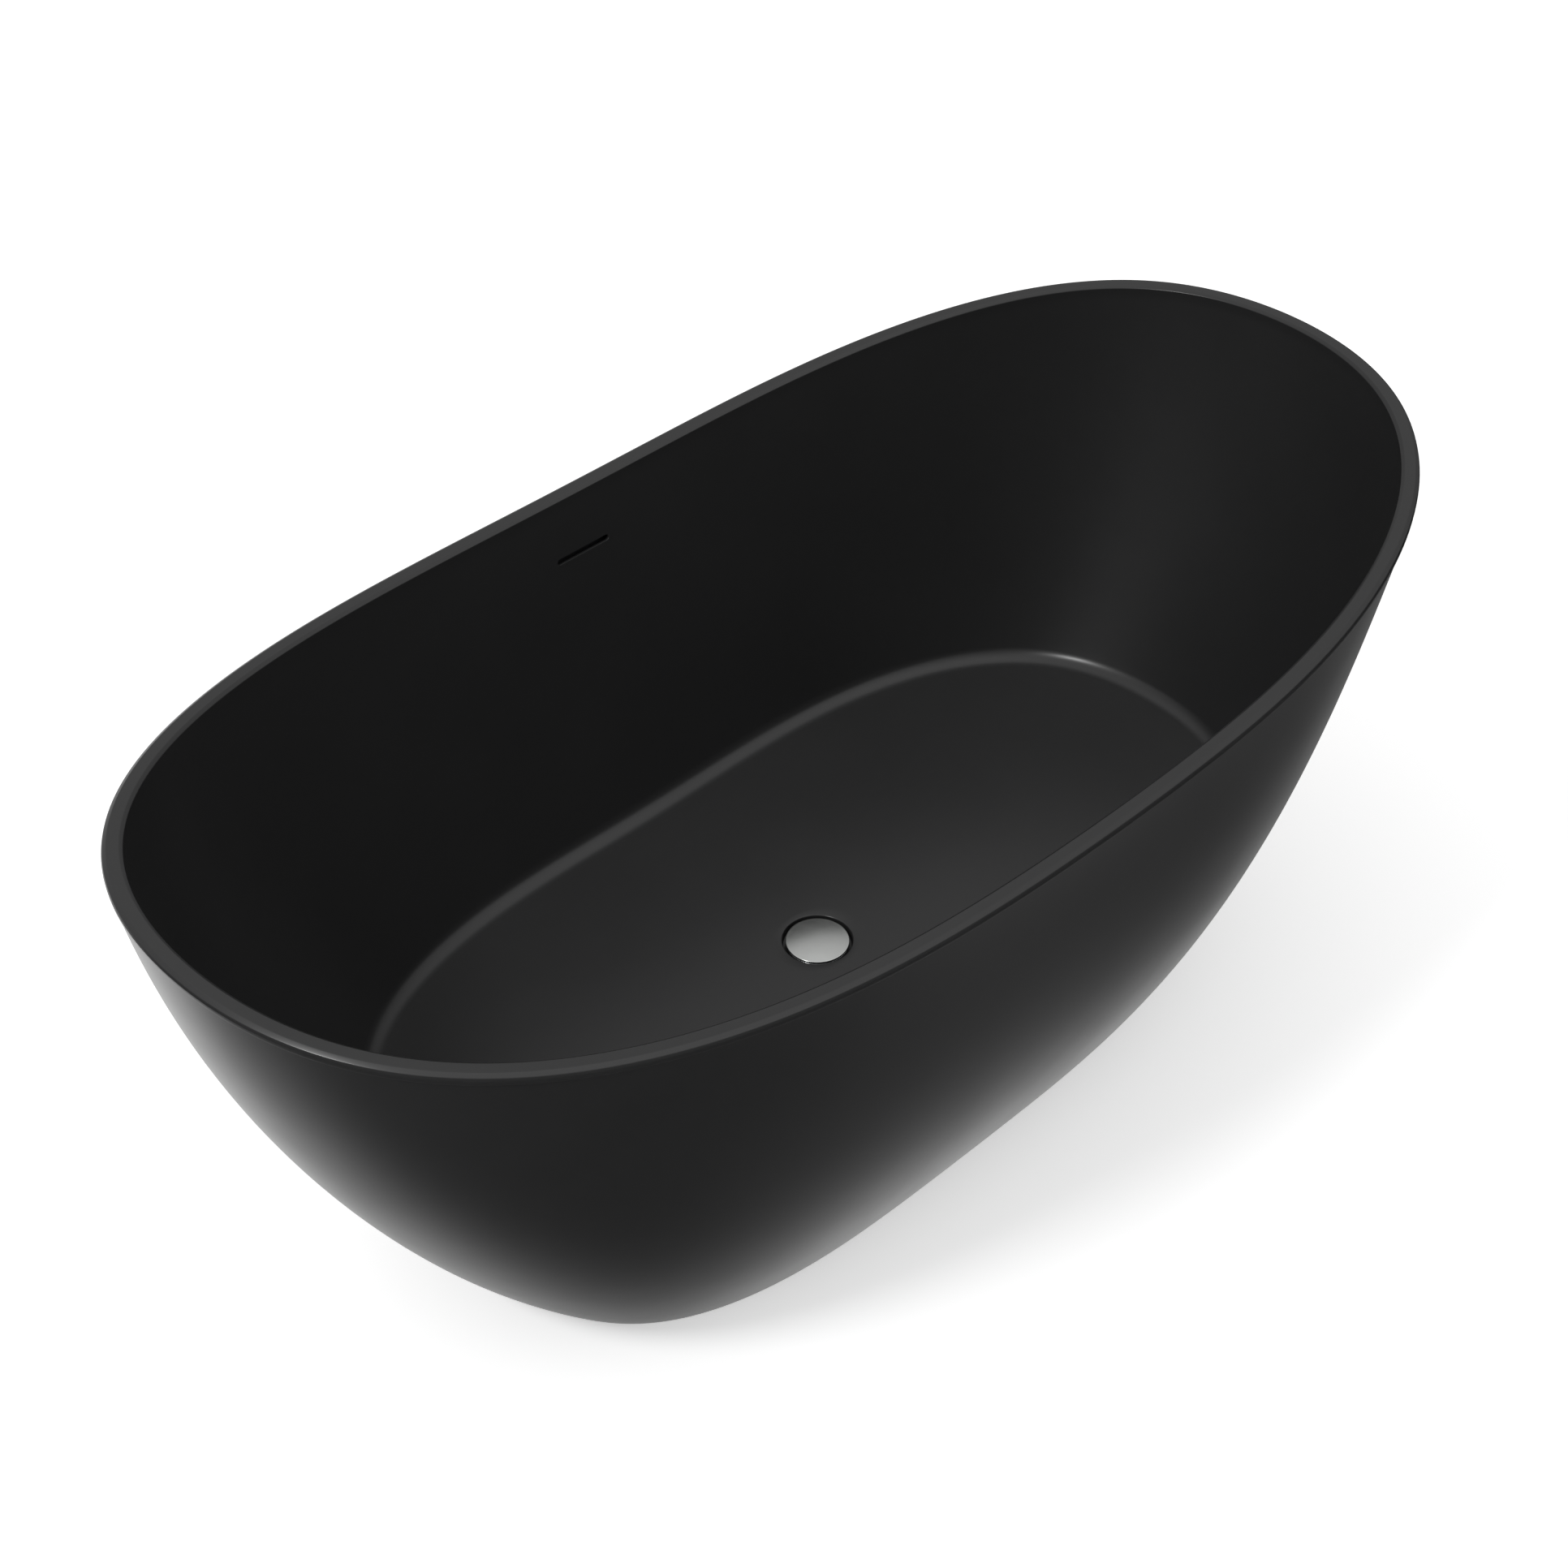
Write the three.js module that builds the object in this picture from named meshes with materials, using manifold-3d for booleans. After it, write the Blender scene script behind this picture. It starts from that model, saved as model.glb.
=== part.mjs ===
// Freestanding double-ended bathtub, rim higher at both ends than in the middle.
// Units: millimetres. +Z up, +X along the length, +Y towards the long wall with the overflow slot.
// Origin: on the floor, under the middle of the rim.
import * as THREE from 'three';
import { mergeVertices } from 'three/addons/utils/BufferGeometryUtils.js';
import Module from 'manifold-3d';

// ---------------------------------------------------------------- driving dimensions
// rim: closed curve x = A cos t m(t), y = B sin t m(t), m = 1 + C2 cos 2t + C4 cos 4t + C6 cos 6t
const RIM_A = 784.673, RIM_B = 400.704, RIM_C2 = -0.0098, RIM_C4 = -0.0394, RIM_C6 = 0.005;
// rim height over u = x / A
const RIM_H0 = 566.581, RIM_H2 = 61.358, RIM_H4 = -0.455, RIM_H6 = 1.446;
const RIM_WIDTH = 19.7;            // across the flat top of the rim
const RIM_RADIUS = 6;              // both edges of the rim
const LIP_DEPTH = 10;              // rim lip, down over the outer skirt
// foot of the skirt at z = 0
const BASE_A = 526.271, BASE_B = 217.86, BASE_C2 = -0.0845, BASE_C4 = -0.0376, BASE_C6 = 0.0214;
// fullness of the skirt section: cubic weights at the ends and at the sides
const W1_END = 0.5519, W2_END = 0.9096, W1_SIDE = 0.75, W2_SIDE = 0.7551;
const SKIRT_THICK = 3.8, SKIRT_FOOT_Z = 4, SKIRT_TURN_IN = 10;
// inside
const FLOOR_Z = 166;               // top of the bathing floor
const FLOOR_RISE = 20, FLOOR_RISE_AT = 560;   // the floor climbs this much from the waste to x = +-560
const FLOOR_A = 523.577, FLOOR_B = 302.749, FLOOR_X = 12.94, FLOOR_C2 = 0.06832, FLOOR_C4 = -0.04727;
const FLOOR_FILLET = 23;
const BULGE_FAR = 18, BULGE_NEAR = 34, BULGE_SIDE = 0;   // outward bow of the inner wall
const SHELL_THICK = 4.2;
// waste
const RECESS_R = 38, RECESS_DEPTH = 9, RECESS_FLOOR = 5, BOSS_R = 47, WASTE_HOLE_R = 26;
const CAP_R = 34.6, CAP_LIFT = 9;
// overflow slot
const SLOT_LENGTH = 71.4, SLOT_HEIGHT = 6.4, SLOT_Z = 499.1;
// carcass under the floor
const BOARD_TOP = 161.2, BOARD_THICK = 15;
const RAIL = 25, RAIL_WALL = 2, RAIL_Y = 130, RAIL_LENGTH = 780, RAIL_TOP = 145.9;
const CROSS_X = [-265, -110, 110, 265];
const FOOT_X = 330, STUD_R = 6, PAD_R = 27;
const TIE_X = 215;
const GAP = 0.3;

const N = 56;                      // samples round the tub
const wasm = await Module();
wasm.setup();

// ---------------------------------------------------------------- helpers
const V = (x, y, z) => new THREE.Vector3(x, y, z);
const range = (n) => [...Array(n).keys()];
const tau = (i) => (2 * Math.PI * (((i % N) + N) % N)) / N;

function toManifold(geometry) {
  let g = geometry.clone();
  g.deleteAttribute('normal');
  g.deleteAttribute('uv');
  g = mergeVertices(g, 1e-4);
  return new wasm.Manifold(new wasm.Mesh({
    numProp: 3,
    vertProperties: new Float32Array(g.attributes.position.array),
    triVerts: new Uint32Array(g.index.array),
  }));
}
function fromManifold(solid) {
  const m = solid.getMesh();
  const p = new Float32Array((m.vertProperties.length / m.numProp) * 3);
  for (let i = 0; i < p.length / 3; i++) for (let k = 0; k < 3; k++) p[3 * i + k] = m.vertProperties[m.numProp * i + k];
  const g = new THREE.BufferGeometry();
  g.setAttribute('position', new THREE.BufferAttribute(p, 3));
  g.setIndex([...m.triVerts]);
  g.computeVertexNormals();
  return g;
}
const at = (g, x, y, z) => g.translate(x, y, z);
const cylinderZ = (r, z0, z1, seg = 24, x = 0, y = 0) =>
  at(new THREE.CylinderGeometry(r, r, z1 - z0, seg).rotateX(Math.PI / 2), x, y, (z0 + z1) / 2);
const cylinderY = (r, y0, y1, seg = 16, x = 0, z = 0) =>
  at(new THREE.CylinderGeometry(r, r, y1 - y0, seg), x, (y0 + y1) / 2, z);
const hexZ = (acrossFlats, z0, z1, x = 0, y = 0) => cylinderZ(acrossFlats / Math.sqrt(3), z0, z1, 6, x, y);
const block = (x0, x1, y0, y1, z0, z1) =>
  at(new THREE.BoxGeometry(x1 - x0, y1 - y0, z1 - z0), (x0 + x1) / 2, (y0 + y1) / 2, (z0 + z1) / 2);
// turned piece about Z: profile [[r, z], ...] closes on itself or ends on the axis
const turned = (profile, seg = 24) => new THREE.LatheGeometry(profile.map(([r, z]) => new THREE.Vector2(r, z)), seg).rotateX(Math.PI / 2);
const ring = (r0, r1, z0, z1, seg = 24) => turned([[r0, z0], [r1, z0], [r1, z1], [r0, z1], [r0, z0]], seg);
function cut(base, ...tools) {
  let s = toManifold(base);
  for (const t of tools) s = s.subtract(toManifold(t));
  return fromManifold(s);
}
function join(...pieces) {
  let s = toManifold(pieces[0]);
  for (const t of pieces.slice(1)) s = s.add(toManifold(t));
  return fromManifold(s);
}
// closed skin over a stack of rings; a one-point ring is a pole, closed = the stack joins its own start
function skin(rings, closed = false) {
  const pos = [], idx = [], start = [];
  for (const r of rings) { start.push(pos.length / 3); for (const p of r) pos.push(p.x, p.y, p.z); }
  const last = closed ? rings.length : rings.length - 1;
  for (let j = 0; j < last; j++) {
    const a = rings[j], b = rings[(j + 1) % rings.length], A = start[j], B = start[(j + 1) % rings.length];
    const n = Math.max(a.length, b.length);
    for (let i = 0; i < n; i++) {
      const k = (i + 1) % n;
      if (a.length === 1) idx.push(A, B + i, B + k);
      else if (b.length === 1) idx.push(A + i, B, A + k);
      else idx.push(A + i, B + i, B + k, A + i, B + k, A + k);
    }
  }
  const g = new THREE.BufferGeometry();
  g.setAttribute('position', new THREE.BufferAttribute(new Float32Array(pos), 3));
  g.setIndex(idx);
  // faces point out: the signed volume is positive
  const v = (i) => V(pos[3 * i], pos[3 * i + 1], pos[3 * i + 2]);
  let vol = 0;
  for (let i = 0; i < idx.length; i += 3) vol += v(idx[i]).dot(v(idx[i + 1]).cross(v(idx[i + 2])));
  if (vol < 0) for (let i = 0; i < idx.length; i += 3) [idx[i + 1], idx[i + 2]] = [idx[i + 2], idx[i + 1]];
  g.setIndex(idx);
  g.computeVertexNormals();
  return g;
}

// ---------------------------------------------------------------- the tub's surfaces
const closedCurve = (a, b, c, x0, t) => {
  const m = 1 + c.reduce((s, [k, v]) => s + v * Math.cos(k * t), 0);
  return [x0 + a * Math.cos(t) * m, b * Math.sin(t) * m];
};
const rimXY = (t) => closedCurve(RIM_A, RIM_B, [[2, RIM_C2], [4, RIM_C4], [6, RIM_C6]], 0, t);
const rimZ = (t) => { const u = rimXY(t)[0] / RIM_A; return RIM_H0 + RIM_H2 * u ** 2 + RIM_H4 * u ** 4 + RIM_H6 * u ** 6; };
const baseXY = (t) => closedCurve(BASE_A, BASE_B, [[2, BASE_C2], [4, BASE_C4], [6, BASE_C6]], 0, t);
const floorXY = (t) => closedCurve(FLOOR_A, FLOOR_B, [[2, FLOOR_C2], [4, FLOOR_C4]], FLOOR_X, t);
const floorZ = (x) => FLOOR_Z + FLOOR_RISE * (x / FLOOR_RISE_AT) ** 2;
function outward(curve, t) {
  const [x0, y0] = curve(t - 1e-3), [x1, y1] = curve(t + 1e-3);
  const l = Math.hypot(x1 - x0, y1 - y0);
  return [(y1 - y0) / l, -(x1 - x0) / l];
}
// outer face of the skirt at height z
function skirtXY(t, z) {
  const s = z / rimZ(t), c2 = Math.cos(t) ** 2;
  const w1 = W1_END * c2 + W1_SIDE * (1 - c2), w2 = W2_END * c2 + W2_SIDE * (1 - c2);
  const w = 3 * s * (1 - s) ** 2 * w1 + 3 * s * s * (1 - s) * w2 + s ** 3;
  const [xr, yr] = rimXY(t), [xb, yb] = baseXY(t);
  return [xb + (xr - xb) * w, yb + (yr - yb) * w];
}
// inner face: floor outline, fillet and wall as one path per angle; q = 0 floor edge, 1 top of fillet, 2 top of wall
function innerFrame(t) {
  const [fx, fy] = floorXY(t), [nx, ny] = outward(floorXY, t);
  const [rx, ry] = rimXY(t), [mx, my] = outward(rimXY, t);
  const top = V(rx - mx * RIM_WIDTH, ry - my * RIM_WIDTH, rimZ(t) - RIM_RADIUS);
  const c = Math.cos(t);
  const bulge = BULGE_SIDE + (c > 0 ? BULGE_FAR : BULGE_NEAR) * c * c;
  const fz = floorZ(fx), a0 = Math.atan((2 * FLOOR_RISE * fx * nx) / FLOOR_RISE_AT ** 2);
  let alpha = 1.3, foot = null;
  for (let k = 0; k < 6; k++) {
    const run = FLOOR_FILLET * (Math.sin(alpha) - Math.sin(a0));
    foot = V(fx + nx * run, fy + ny * run, fz + FLOOR_FILLET * (Math.cos(a0) - Math.cos(alpha)));
    const out = (top.x - foot.x) * nx + (top.y - foot.y) * ny + 4 * bulge;
    alpha = Math.atan2(top.z - foot.z, out);
  }
  return { fx, fy, fz, a0, nx, ny, top, bulge, alpha, foot, mx, my };
}
function innerPoint(f, q) {
  if (q <= 1) {
    const a = f.a0 + (f.alpha - f.a0) * q, R = FLOOR_FILLET, run = R * (Math.sin(a) - Math.sin(f.a0));
    return V(f.fx + f.nx * run, f.fy + f.ny * run, f.fz + R * (Math.cos(f.a0) - Math.cos(a)));
  }
  const s = q - 1, b = f.bulge * 4 * s * (1 - s);
  const p = f.foot.clone().lerp(f.top, s);
  return V(p.x + f.nx * b, p.y + f.ny * b, p.z);
}
// rim section in (outward, up) from the outer top corner of the rim
const arc = (cx, cy, r, a0, a1, n) => range(n + 1).map((i) => {
  const a = a0 + ((a1 - a0) * i) / n; return [cx + r * Math.cos(a), cy + r * Math.sin(a)];
});
const R = RIM_RADIUS, W = RIM_WIDTH;
const rimTop = [...arc(-W + R, -R, R, Math.PI, Math.PI / 2, 2).slice(1), ...arc(-R, -R, R, Math.PI / 2, 0, 3), [-0.3, -LIP_DEPTH]];
const rimUnder = [[-SHELL_THICK, -LIP_DEPTH], [-SHELL_THICK, -R], [-R, -SHELL_THICK], [-W + R, -SHELL_THICK], [-W + SHELL_THICK, -R]];
function rimRing([dn, dz]) {
  return range(N).map((i) => {
    const t = tau(i), [x, y] = rimXY(t), [nx, ny] = outward(rimXY, t);
    return V(x + nx * dn, y + ny * dn, rimZ(t) + dz);
  });
}
function basinGeometry() {
  const f = range(N).map((i) => innerFrame(tau(i)));
  const qs = [0, 0.36, 0.7, 1, 1.16, 1.42, 1.7, 2];
  const upper = qs.map((q) => f.map((k) => innerPoint(k, q)));
  // back of the shell: the inner face moved out along its own normal
  const back = [0, 1 / 2, 1, 1.2, 1.5, 2].map((q) => f.map((k, i) => {
    const e = 0.02, a = innerPoint(k, Math.max(0, q - e)), b = innerPoint(k, Math.min(2, q + e));
    const l = innerPoint(f[(i + N - 1) % N], q), r = innerPoint(f[(i + 1) % N], q);
    let n = b.sub(a).cross(r.sub(l)).normalize();
    if (q === 0) n = V(-Math.sin(k.a0) * k.nx, -Math.sin(k.a0) * k.ny, Math.cos(k.a0));
    if (q === 2) n.z = 0, n.normalize();
    if (n.z < 0 || (n.z === 0 && n.x * k.nx + n.y * k.ny > 0)) n.negate();
    return innerPoint(k, q).addScaledVector(n, -SHELL_THICK);
  }));
  const mid = (part, dz) => f.map((k) => V(k.fx * part, k.fy * part, floorZ(k.fx * part) + dz));
  const rings = [
    [V(0, 0, FLOOR_Z)], mid(0.4, 0), mid(0.72, 0), ...upper, ...rimTop.map(rimRing),
    ...rimUnder.slice(0, 4).map(rimRing), ...back.slice().reverse(), mid(0.6, -SHELL_THICK), [V(0, 0, FLOOR_Z - SHELL_THICK)],
  ];
  let s = toManifold(skin(rings));
  // thickened pad under the waste recess
  const recessZ = FLOOR_Z - RECESS_DEPTH, padZ = recessZ - RECESS_FLOOR;
  s = s.add(toManifold(cylinderZ(BOSS_R, padZ, FLOOR_Z - 2, 32)));
  s = s.subtract(toManifold(cylinderZ(RECESS_R, recessZ, FLOOR_Z + 5, 40)));
  s = s.subtract(toManifold(cylinderZ(WASTE_HOLE_R, padZ - 5, recessZ + 5, 24)));
  s = s.subtract(toManifold(slotCutter(SLOT_LENGTH, SLOT_HEIGHT, -12, 9)));
  return fromManifold(s);
}
// inner wall at the slot: position and tilt
const slotFrame = (() => {
  const f = innerFrame(Math.PI / 2), s = (SLOT_Z - f.foot.z) / (f.top.z - f.foot.z);
  const p = innerPoint(f, 1 + s);
  return { y: p.y, z: p.z, tilt: Math.atan2(f.top.y - f.foot.y, f.top.z - f.foot.z) };
})();
// stadium section, long in X, pushed through the wall from depth d0 to d1 (outwards positive)
function slotCutter(length, height, d0, d1) {
  const r = height / 2, h = length / 2 - r, s = new THREE.Shape();
  s.absarc(h, 0, r, -Math.PI / 2, Math.PI / 2, false);
  s.absarc(-h, 0, r, Math.PI / 2, (3 * Math.PI) / 2, false);
  const g = new THREE.ExtrudeGeometry(s, { depth: d1 - d0, bevelEnabled: false, curveSegments: 6, steps: 1 });
  return g.translate(0, 0, d0).rotateX(-Math.PI / 2).rotateX(-slotFrame.tilt).translate(0, slotFrame.y, slotFrame.z);
}
function skirtGeometry() {
  const ts = range(N).map(tau);
  const topZ = (t) => rimZ(t) - LIP_DEPTH - 0.4;
  const outer = (t, z, inset) => {
    const [x, y] = skirtXY(t, z), e = 1;
    const [x1, y1] = skirtXY(t, z + e), [x0, y0] = skirtXY(t, z - e);
    const [nx, ny] = outward((k) => skirtXY(k, z), t);
    const slope = ((x1 - x0) * nx + (y1 - y0) * ny) / (2 * e), k = Math.hypot(1, slope);
    return V(x - (nx * inset) * k, y - (ny * inset) * k, z);   // wall measured square to the face
  };
  const steps = [1, 0.84, 0.66, 0.48, 0.32, 0.18, 0.07, 0];
  const zOf = (t, u) => SKIRT_FOOT_Z + (topZ(t) - SKIRT_FOOT_Z) * u;
  const zIn = (t, u) => SKIRT_FOOT_Z + 4 + (topZ(t) - SKIRT_FOOT_Z - 4) * u;
  return skin([
    ...steps.map((u) => ts.map((t) => outer(t, zOf(t, u), 0))),
    ts.map((t) => outer(t, SKIRT_FOOT_Z, SKIRT_THICK + SKIRT_TURN_IN)),
    ts.map((t) => outer(t, SKIRT_FOOT_Z + 4, SKIRT_THICK + SKIRT_TURN_IN)),
    ...steps.slice().reverse().map((u) => ts.map((t) => outer(t, zIn(t, u), SKIRT_THICK))),
  ], true);
}
// inner face of the skirt on the +Y side at (x, z)
function skirtInnerY(x, z) {
  let lo = 0.05, hi = Math.PI - 0.05;
  for (let k = 0; k < 60; k++) { const m = (lo + hi) / 2; if (skirtXY(m, z)[0] > x) lo = m; else hi = m; }
  return skirtXY(lo, z)[1] - SKIRT_THICK * 1.12;
}

// ---------------------------------------------------------------- finishes
const finish = {
  acrylic: [0x1d1d1f, 0.42, 0], board: [0x8a6b45, 0.85, 0], steel: [0x6f7478, 0.5, 0.9], zinc: [0xa9adb0, 0.38, 1],
  chrome: [0xc9cacc, 0.22, 1], brass: [0xb08d4a, 0.35, 1], rubber: [0x1a1a1a, 0.85, 0], foam: [0x3a3a3c, 0.95, 0],
  abs: [0xd9d9d6, 0.5, 0], pp: [0xc8cac8, 0.55, 0], pad: [0x242426, 0.8, 0], spring: [0x9a9da0, 0.3, 1], hose: [0x8c9094, 0.6, 0],
};
const tub = new THREE.Group();
function add(name, geometry, kind, parent = tub) {
  const [color, roughness, metalness] = finish[kind];
  const mesh = new THREE.Mesh(geometry, new THREE.MeshStandardMaterial({ color, roughness, metalness }));
  mesh.name = name;
  parent.add(mesh);
  return mesh;
}

// ---------------------------------------------------------------- shells
add('basin', basinGeometry(), 'acrylic');
add('outer_skirt', skirtGeometry(), 'acrylic');

// ---------------------------------------------------------------- base board and frame
{
  const s = new THREE.Shape();
  range(40).forEach((i) => {
    const [x, y] = floorXY((2 * Math.PI * i) / 40);
    if (i) s.lineTo(x * 0.88, y * 0.86); else s.moveTo(x * 0.88, y * 0.86);
  });
  s.closePath();
  const hole = new THREE.Path();
  hole.absarc(0, 0, 58, 0, 2 * Math.PI, true);
  s.holes.push(hole);
  const g = new THREE.ExtrudeGeometry(s, { depth: BOARD_THICK, bevelEnabled: false, curveSegments: 12 });
  add('base_board', at(g, 0, 0, BOARD_TOP - BOARD_THICK), 'board');
}
const railZ = RAIL_TOP - RAIL / 2, hollow = RAIL / 2 - RAIL_WALL;
const tubeSection = () => {
  const s = new THREE.Shape([[-1, -1], [1, -1], [1, 1], [-1, 1]].map(([a, b]) => new THREE.Vector2((a * RAIL) / 2, (b * RAIL) / 2)));
  s.holes.push(new THREE.Path([[-1, -1], [-1, 1], [1, 1], [1, -1]].map(([a, b]) => new THREE.Vector2(a * hollow, b * hollow))));
  return s;
};
const tubeX = (length) => new THREE.ExtrudeGeometry(tubeSection(), { depth: length, bevelEnabled: false }).rotateY(Math.PI / 2).translate(-length / 2, 0, 0);
for (const [side, sy] of [['slot_side', 1], ['plain_side', -1]]) {
  const holes = [-1, 1].map((sx) => cylinderZ(STUD_R + 0.8, RAIL_TOP - RAIL - 3, RAIL_TOP - RAIL + 5, 12, sx * FOOT_X, sy * RAIL_Y));
  add(`frame_rail_${side}`, cut(at(tubeX(RAIL_LENGTH), 0, sy * RAIL_Y, railZ), ...holes), 'steel');
}
CROSS_X.forEach((x, i) => {
  const length = 2 * (RAIL_Y - RAIL / 2 - GAP);
  add(`frame_cross_${i + 1}`, at(tubeX(length).rotateZ(Math.PI / 2), x, 0, railZ), 'steel');
});
// bent strips that hold the skirt to the rails
for (const [i, [sx, sy]] of [[1, 1], [-1, 1], [-1, -1], [1, -1]].entries()) {
  const z0 = RAIL_TOP - RAIL, x = sx * TIE_X, y0 = RAIL_Y + RAIL / 2 + GAP;
  const yLow = Math.min(skirtInnerY(x - sx * 15, z0), skirtInnerY(x + sx * 15, z0)) - 2.4;
  const yHigh = Math.min(skirtInnerY(x - sx * 15, z0 + 26), skirtInnerY(x + sx * 15, z0 + 26)) - 2.4;
  const s = new THREE.Shape([
    [y0, z0], [yLow, z0], [yHigh, z0 + 26], [yHigh - 3, z0 + 26], [yLow - 3.2, z0 + 3], [y0 + 3, z0 + 3], [y0 + 3, z0 + 22], [y0, z0 + 22],
  ].map(([a, b]) => new THREE.Vector2(a, b)));
  const g = new THREE.ExtrudeGeometry(s, { depth: 30, bevelEnabled: false }).rotateX(Math.PI / 2).rotateZ(Math.PI / 2).translate(-15, 0, 0);
  if (sy < 0) g.rotateZ(Math.PI);
  add(`skirt_tie_${i + 1}`, at(g, x, 0, 0), 'zinc');
}

// ---------------------------------------------------------------- levelling feet
for (const [i, [sx, sy]] of [[1, 1], [-1, 1], [-1, -1], [1, -1]].entries()) {
  const foot = new THREE.Group();
  foot.position.set(sx * FOOT_X, sy * RAIL_Y, 0);
  const under = RAIL_TOP - RAIL, n = i + 1;
  add(`foot_${n}_weld_nut`, cut(hexZ(19, under - GAP - 10, under - GAP), cylinderZ(STUD_R + 0.4, 90, 140, 12)), 'steel', foot);
  add(`foot_${n}_lock_nut`, cut(hexZ(19, under - 18.6, under - 10.6), cylinderZ(STUD_R + 0.4, 90, 140, 12)), 'zinc', foot);
  // threaded stud with its spanner hexagon and the ball end that sits in the pad
  add(`foot_${n}_stud`, join(
    turned([[0, 8], [4, 8], [4, 14.3], [STUD_R, 14.3], [STUD_R, 139], [STUD_R - 1.2, 140], [0, 140]], 12),
    hexZ(17, 14.3, 22)), 'zinc', foot);
  add(`foot_${n}_pad`, turned([[0, 0], [PAD_R - 2, 0], [PAD_R, 2], [PAD_R, 6], [11, 12], [11, 13.9], [4.4, 13.9], [4.4, 7.6], [0, 7.6]], 16), 'pad', foot);
  tub.add(foot);
}

// ---------------------------------------------------------------- waste
const seat = FLOOR_Z - RECESS_DEPTH;            // floor of the recess
add('waste_washer_top', ring(WASTE_HOLE_R - 1.5, 33, seat + GAP, seat + 1.8, 24), 'foam');
const flange = seat + 4.1;                      // top of the waste flange
{
  const body = turned([[21, 96], [24, 96], [24, flange - 2], [33.6, flange - 2], [33.6, flange], [23, flange], [21, flange - 2.5], [21, 96]], 24);
  const hub = ring(8.5, 12, 145, 152, 18);
  const arms = [0, 1, 2].map((k) => block(10.5, 22.5, -2.5, 2.5, 146, 151.5).rotateZ((k * 2 * Math.PI) / 3));
  add('waste_body', join(body, hub, ...arms), 'chrome');
}
add('waste_washer_bottom', ring(24.4, 37, seat - RECESS_FLOOR - 2.3, seat - RECESS_FLOOR - GAP, 24), 'rubber');
add('waste_back_nut', cut(join(hexZ(62, 139, 149.4), cylinderZ(38, 146, 149.4, 24)), cylinderZ(24.5, 130, 160, 24)), 'brass');
{
  // waste tee: socket on the waste body, side spigot for the overflow hose
  const outer = turned([[0, 50], [24, 50], [24, 90], [28.5, 93], [28.5, 124], [0, 124]], 24);
  const spigot = cylinderY(12, 10, 76, 16, 0, 76);
  const barb = cylinderY(12.6, 70, 73, 16, 0, 76);
  const bore = turned([[0, 45], [20.4, 45], [20.4, 95.6], [24.5, 95.6], [24.5, 130], [0, 130]], 24);
  add('waste_tee', cut(join(outer, spigot, barb), bore, cylinderY(9.6, 0, 90, 16, 0, 76)), 'pp');
}
add('waste_coupling_nut', cut(join(hexZ(58, 44, 60), cylinderZ(29.5, 44, 48, 24)), cylinderZ(20.5, 40, 47.1, 24), cylinderZ(24.5, 47, 70, 24)), 'pp');
add('waste_tailpiece', turned([[17.6, 9], [20, 9], [20, 47.4], [23.6, 47.4], [23.6, 49.6], [17.6, 49.6], [17.6, 9]], 24), 'pp');

// lifting cap with its seal, stem and click cartridge
const capUnder = flange + 1.9;
add('waste_cap', turned([
  [0, capUnder], [CAP_R - 0.8, capUnder], [CAP_R, capUnder + 1.2], [CAP_R - 0.7, capUnder + 2.4],
  [CAP_R - 3, capUnder + 3], [20, capUnder + 3.7], [0, capUnder + 4.1],
], 32), 'chrome');
add('waste_cap_seal', ring(24.5, 30, flange + 0.3, capUnder - GAP, 24), 'rubber');
add('waste_cap_stem', turned([[0, 119], [3, 119], [3, 128], [5.6, 128], [5.6, 131], [3, 131], [3, capUnder - 3.5], [7, capUnder - 3.5], [7, capUnder - GAP], [0, capUnder - GAP]], 16), 'brass');
add('cartridge_body', turned([[0, 111], [7, 111], [8.2, 112.5], [8.2, 152.6], [6.2, 152.6], [6.2, 115], [0, 115]], 18), 'brass');
add('cartridge_guide', ring(3.5, 5.9, 143, 150, 16), 'brass');
{
  // spring under the stem's collar, wound round its foot
  class Helix extends THREE.Curve {
    getPoint(u) { const a = 2 * Math.PI * 4 * u; return V(4.75 * Math.cos(a), 4.75 * Math.sin(a), 116 + 11.2 * u); }
  }
  const s = new THREE.Shape();
  range(6).forEach((i) => { const a = (i * Math.PI) / 3; const p = [0.55 * Math.cos(a), 0.55 * Math.sin(a)]; if (i) s.lineTo(...p); else s.moveTo(...p); });
  s.closePath();
  add('cartridge_spring', new THREE.ExtrudeGeometry(s, { steps: 48, extrudePath: new Helix(), bevelEnabled: false }), 'spring');
}

// ---------------------------------------------------------------- overflow
// local frame at the slot: x along the tub, y outwards square to the wall, z up the wall
const onWall = (g) => g.rotateX(-slotFrame.tilt).translate(0, slotFrame.y, slotFrame.z);
const boxFront = SHELL_THICK + 1.4, boxBack = boxFront + 7.4, boxLow = -26;
add('overflow_gasket', onWall(cut(block(-46, 46, SHELL_THICK + GAP, boxFront - GAP, -13, 13), block(-39, 39, 0, 20, -6, 6))), 'rubber');
add('overflow_box', onWall(cut(
  block(-46, 46, boxFront, boxBack, boxLow, 16),
  block(-39, 39, boxFront - 1, boxFront + 3, -6, 6),
  block(-42, 42, boxFront + 1.4, boxBack - 1.2, boxLow - 2, 14))), 'abs');

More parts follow.
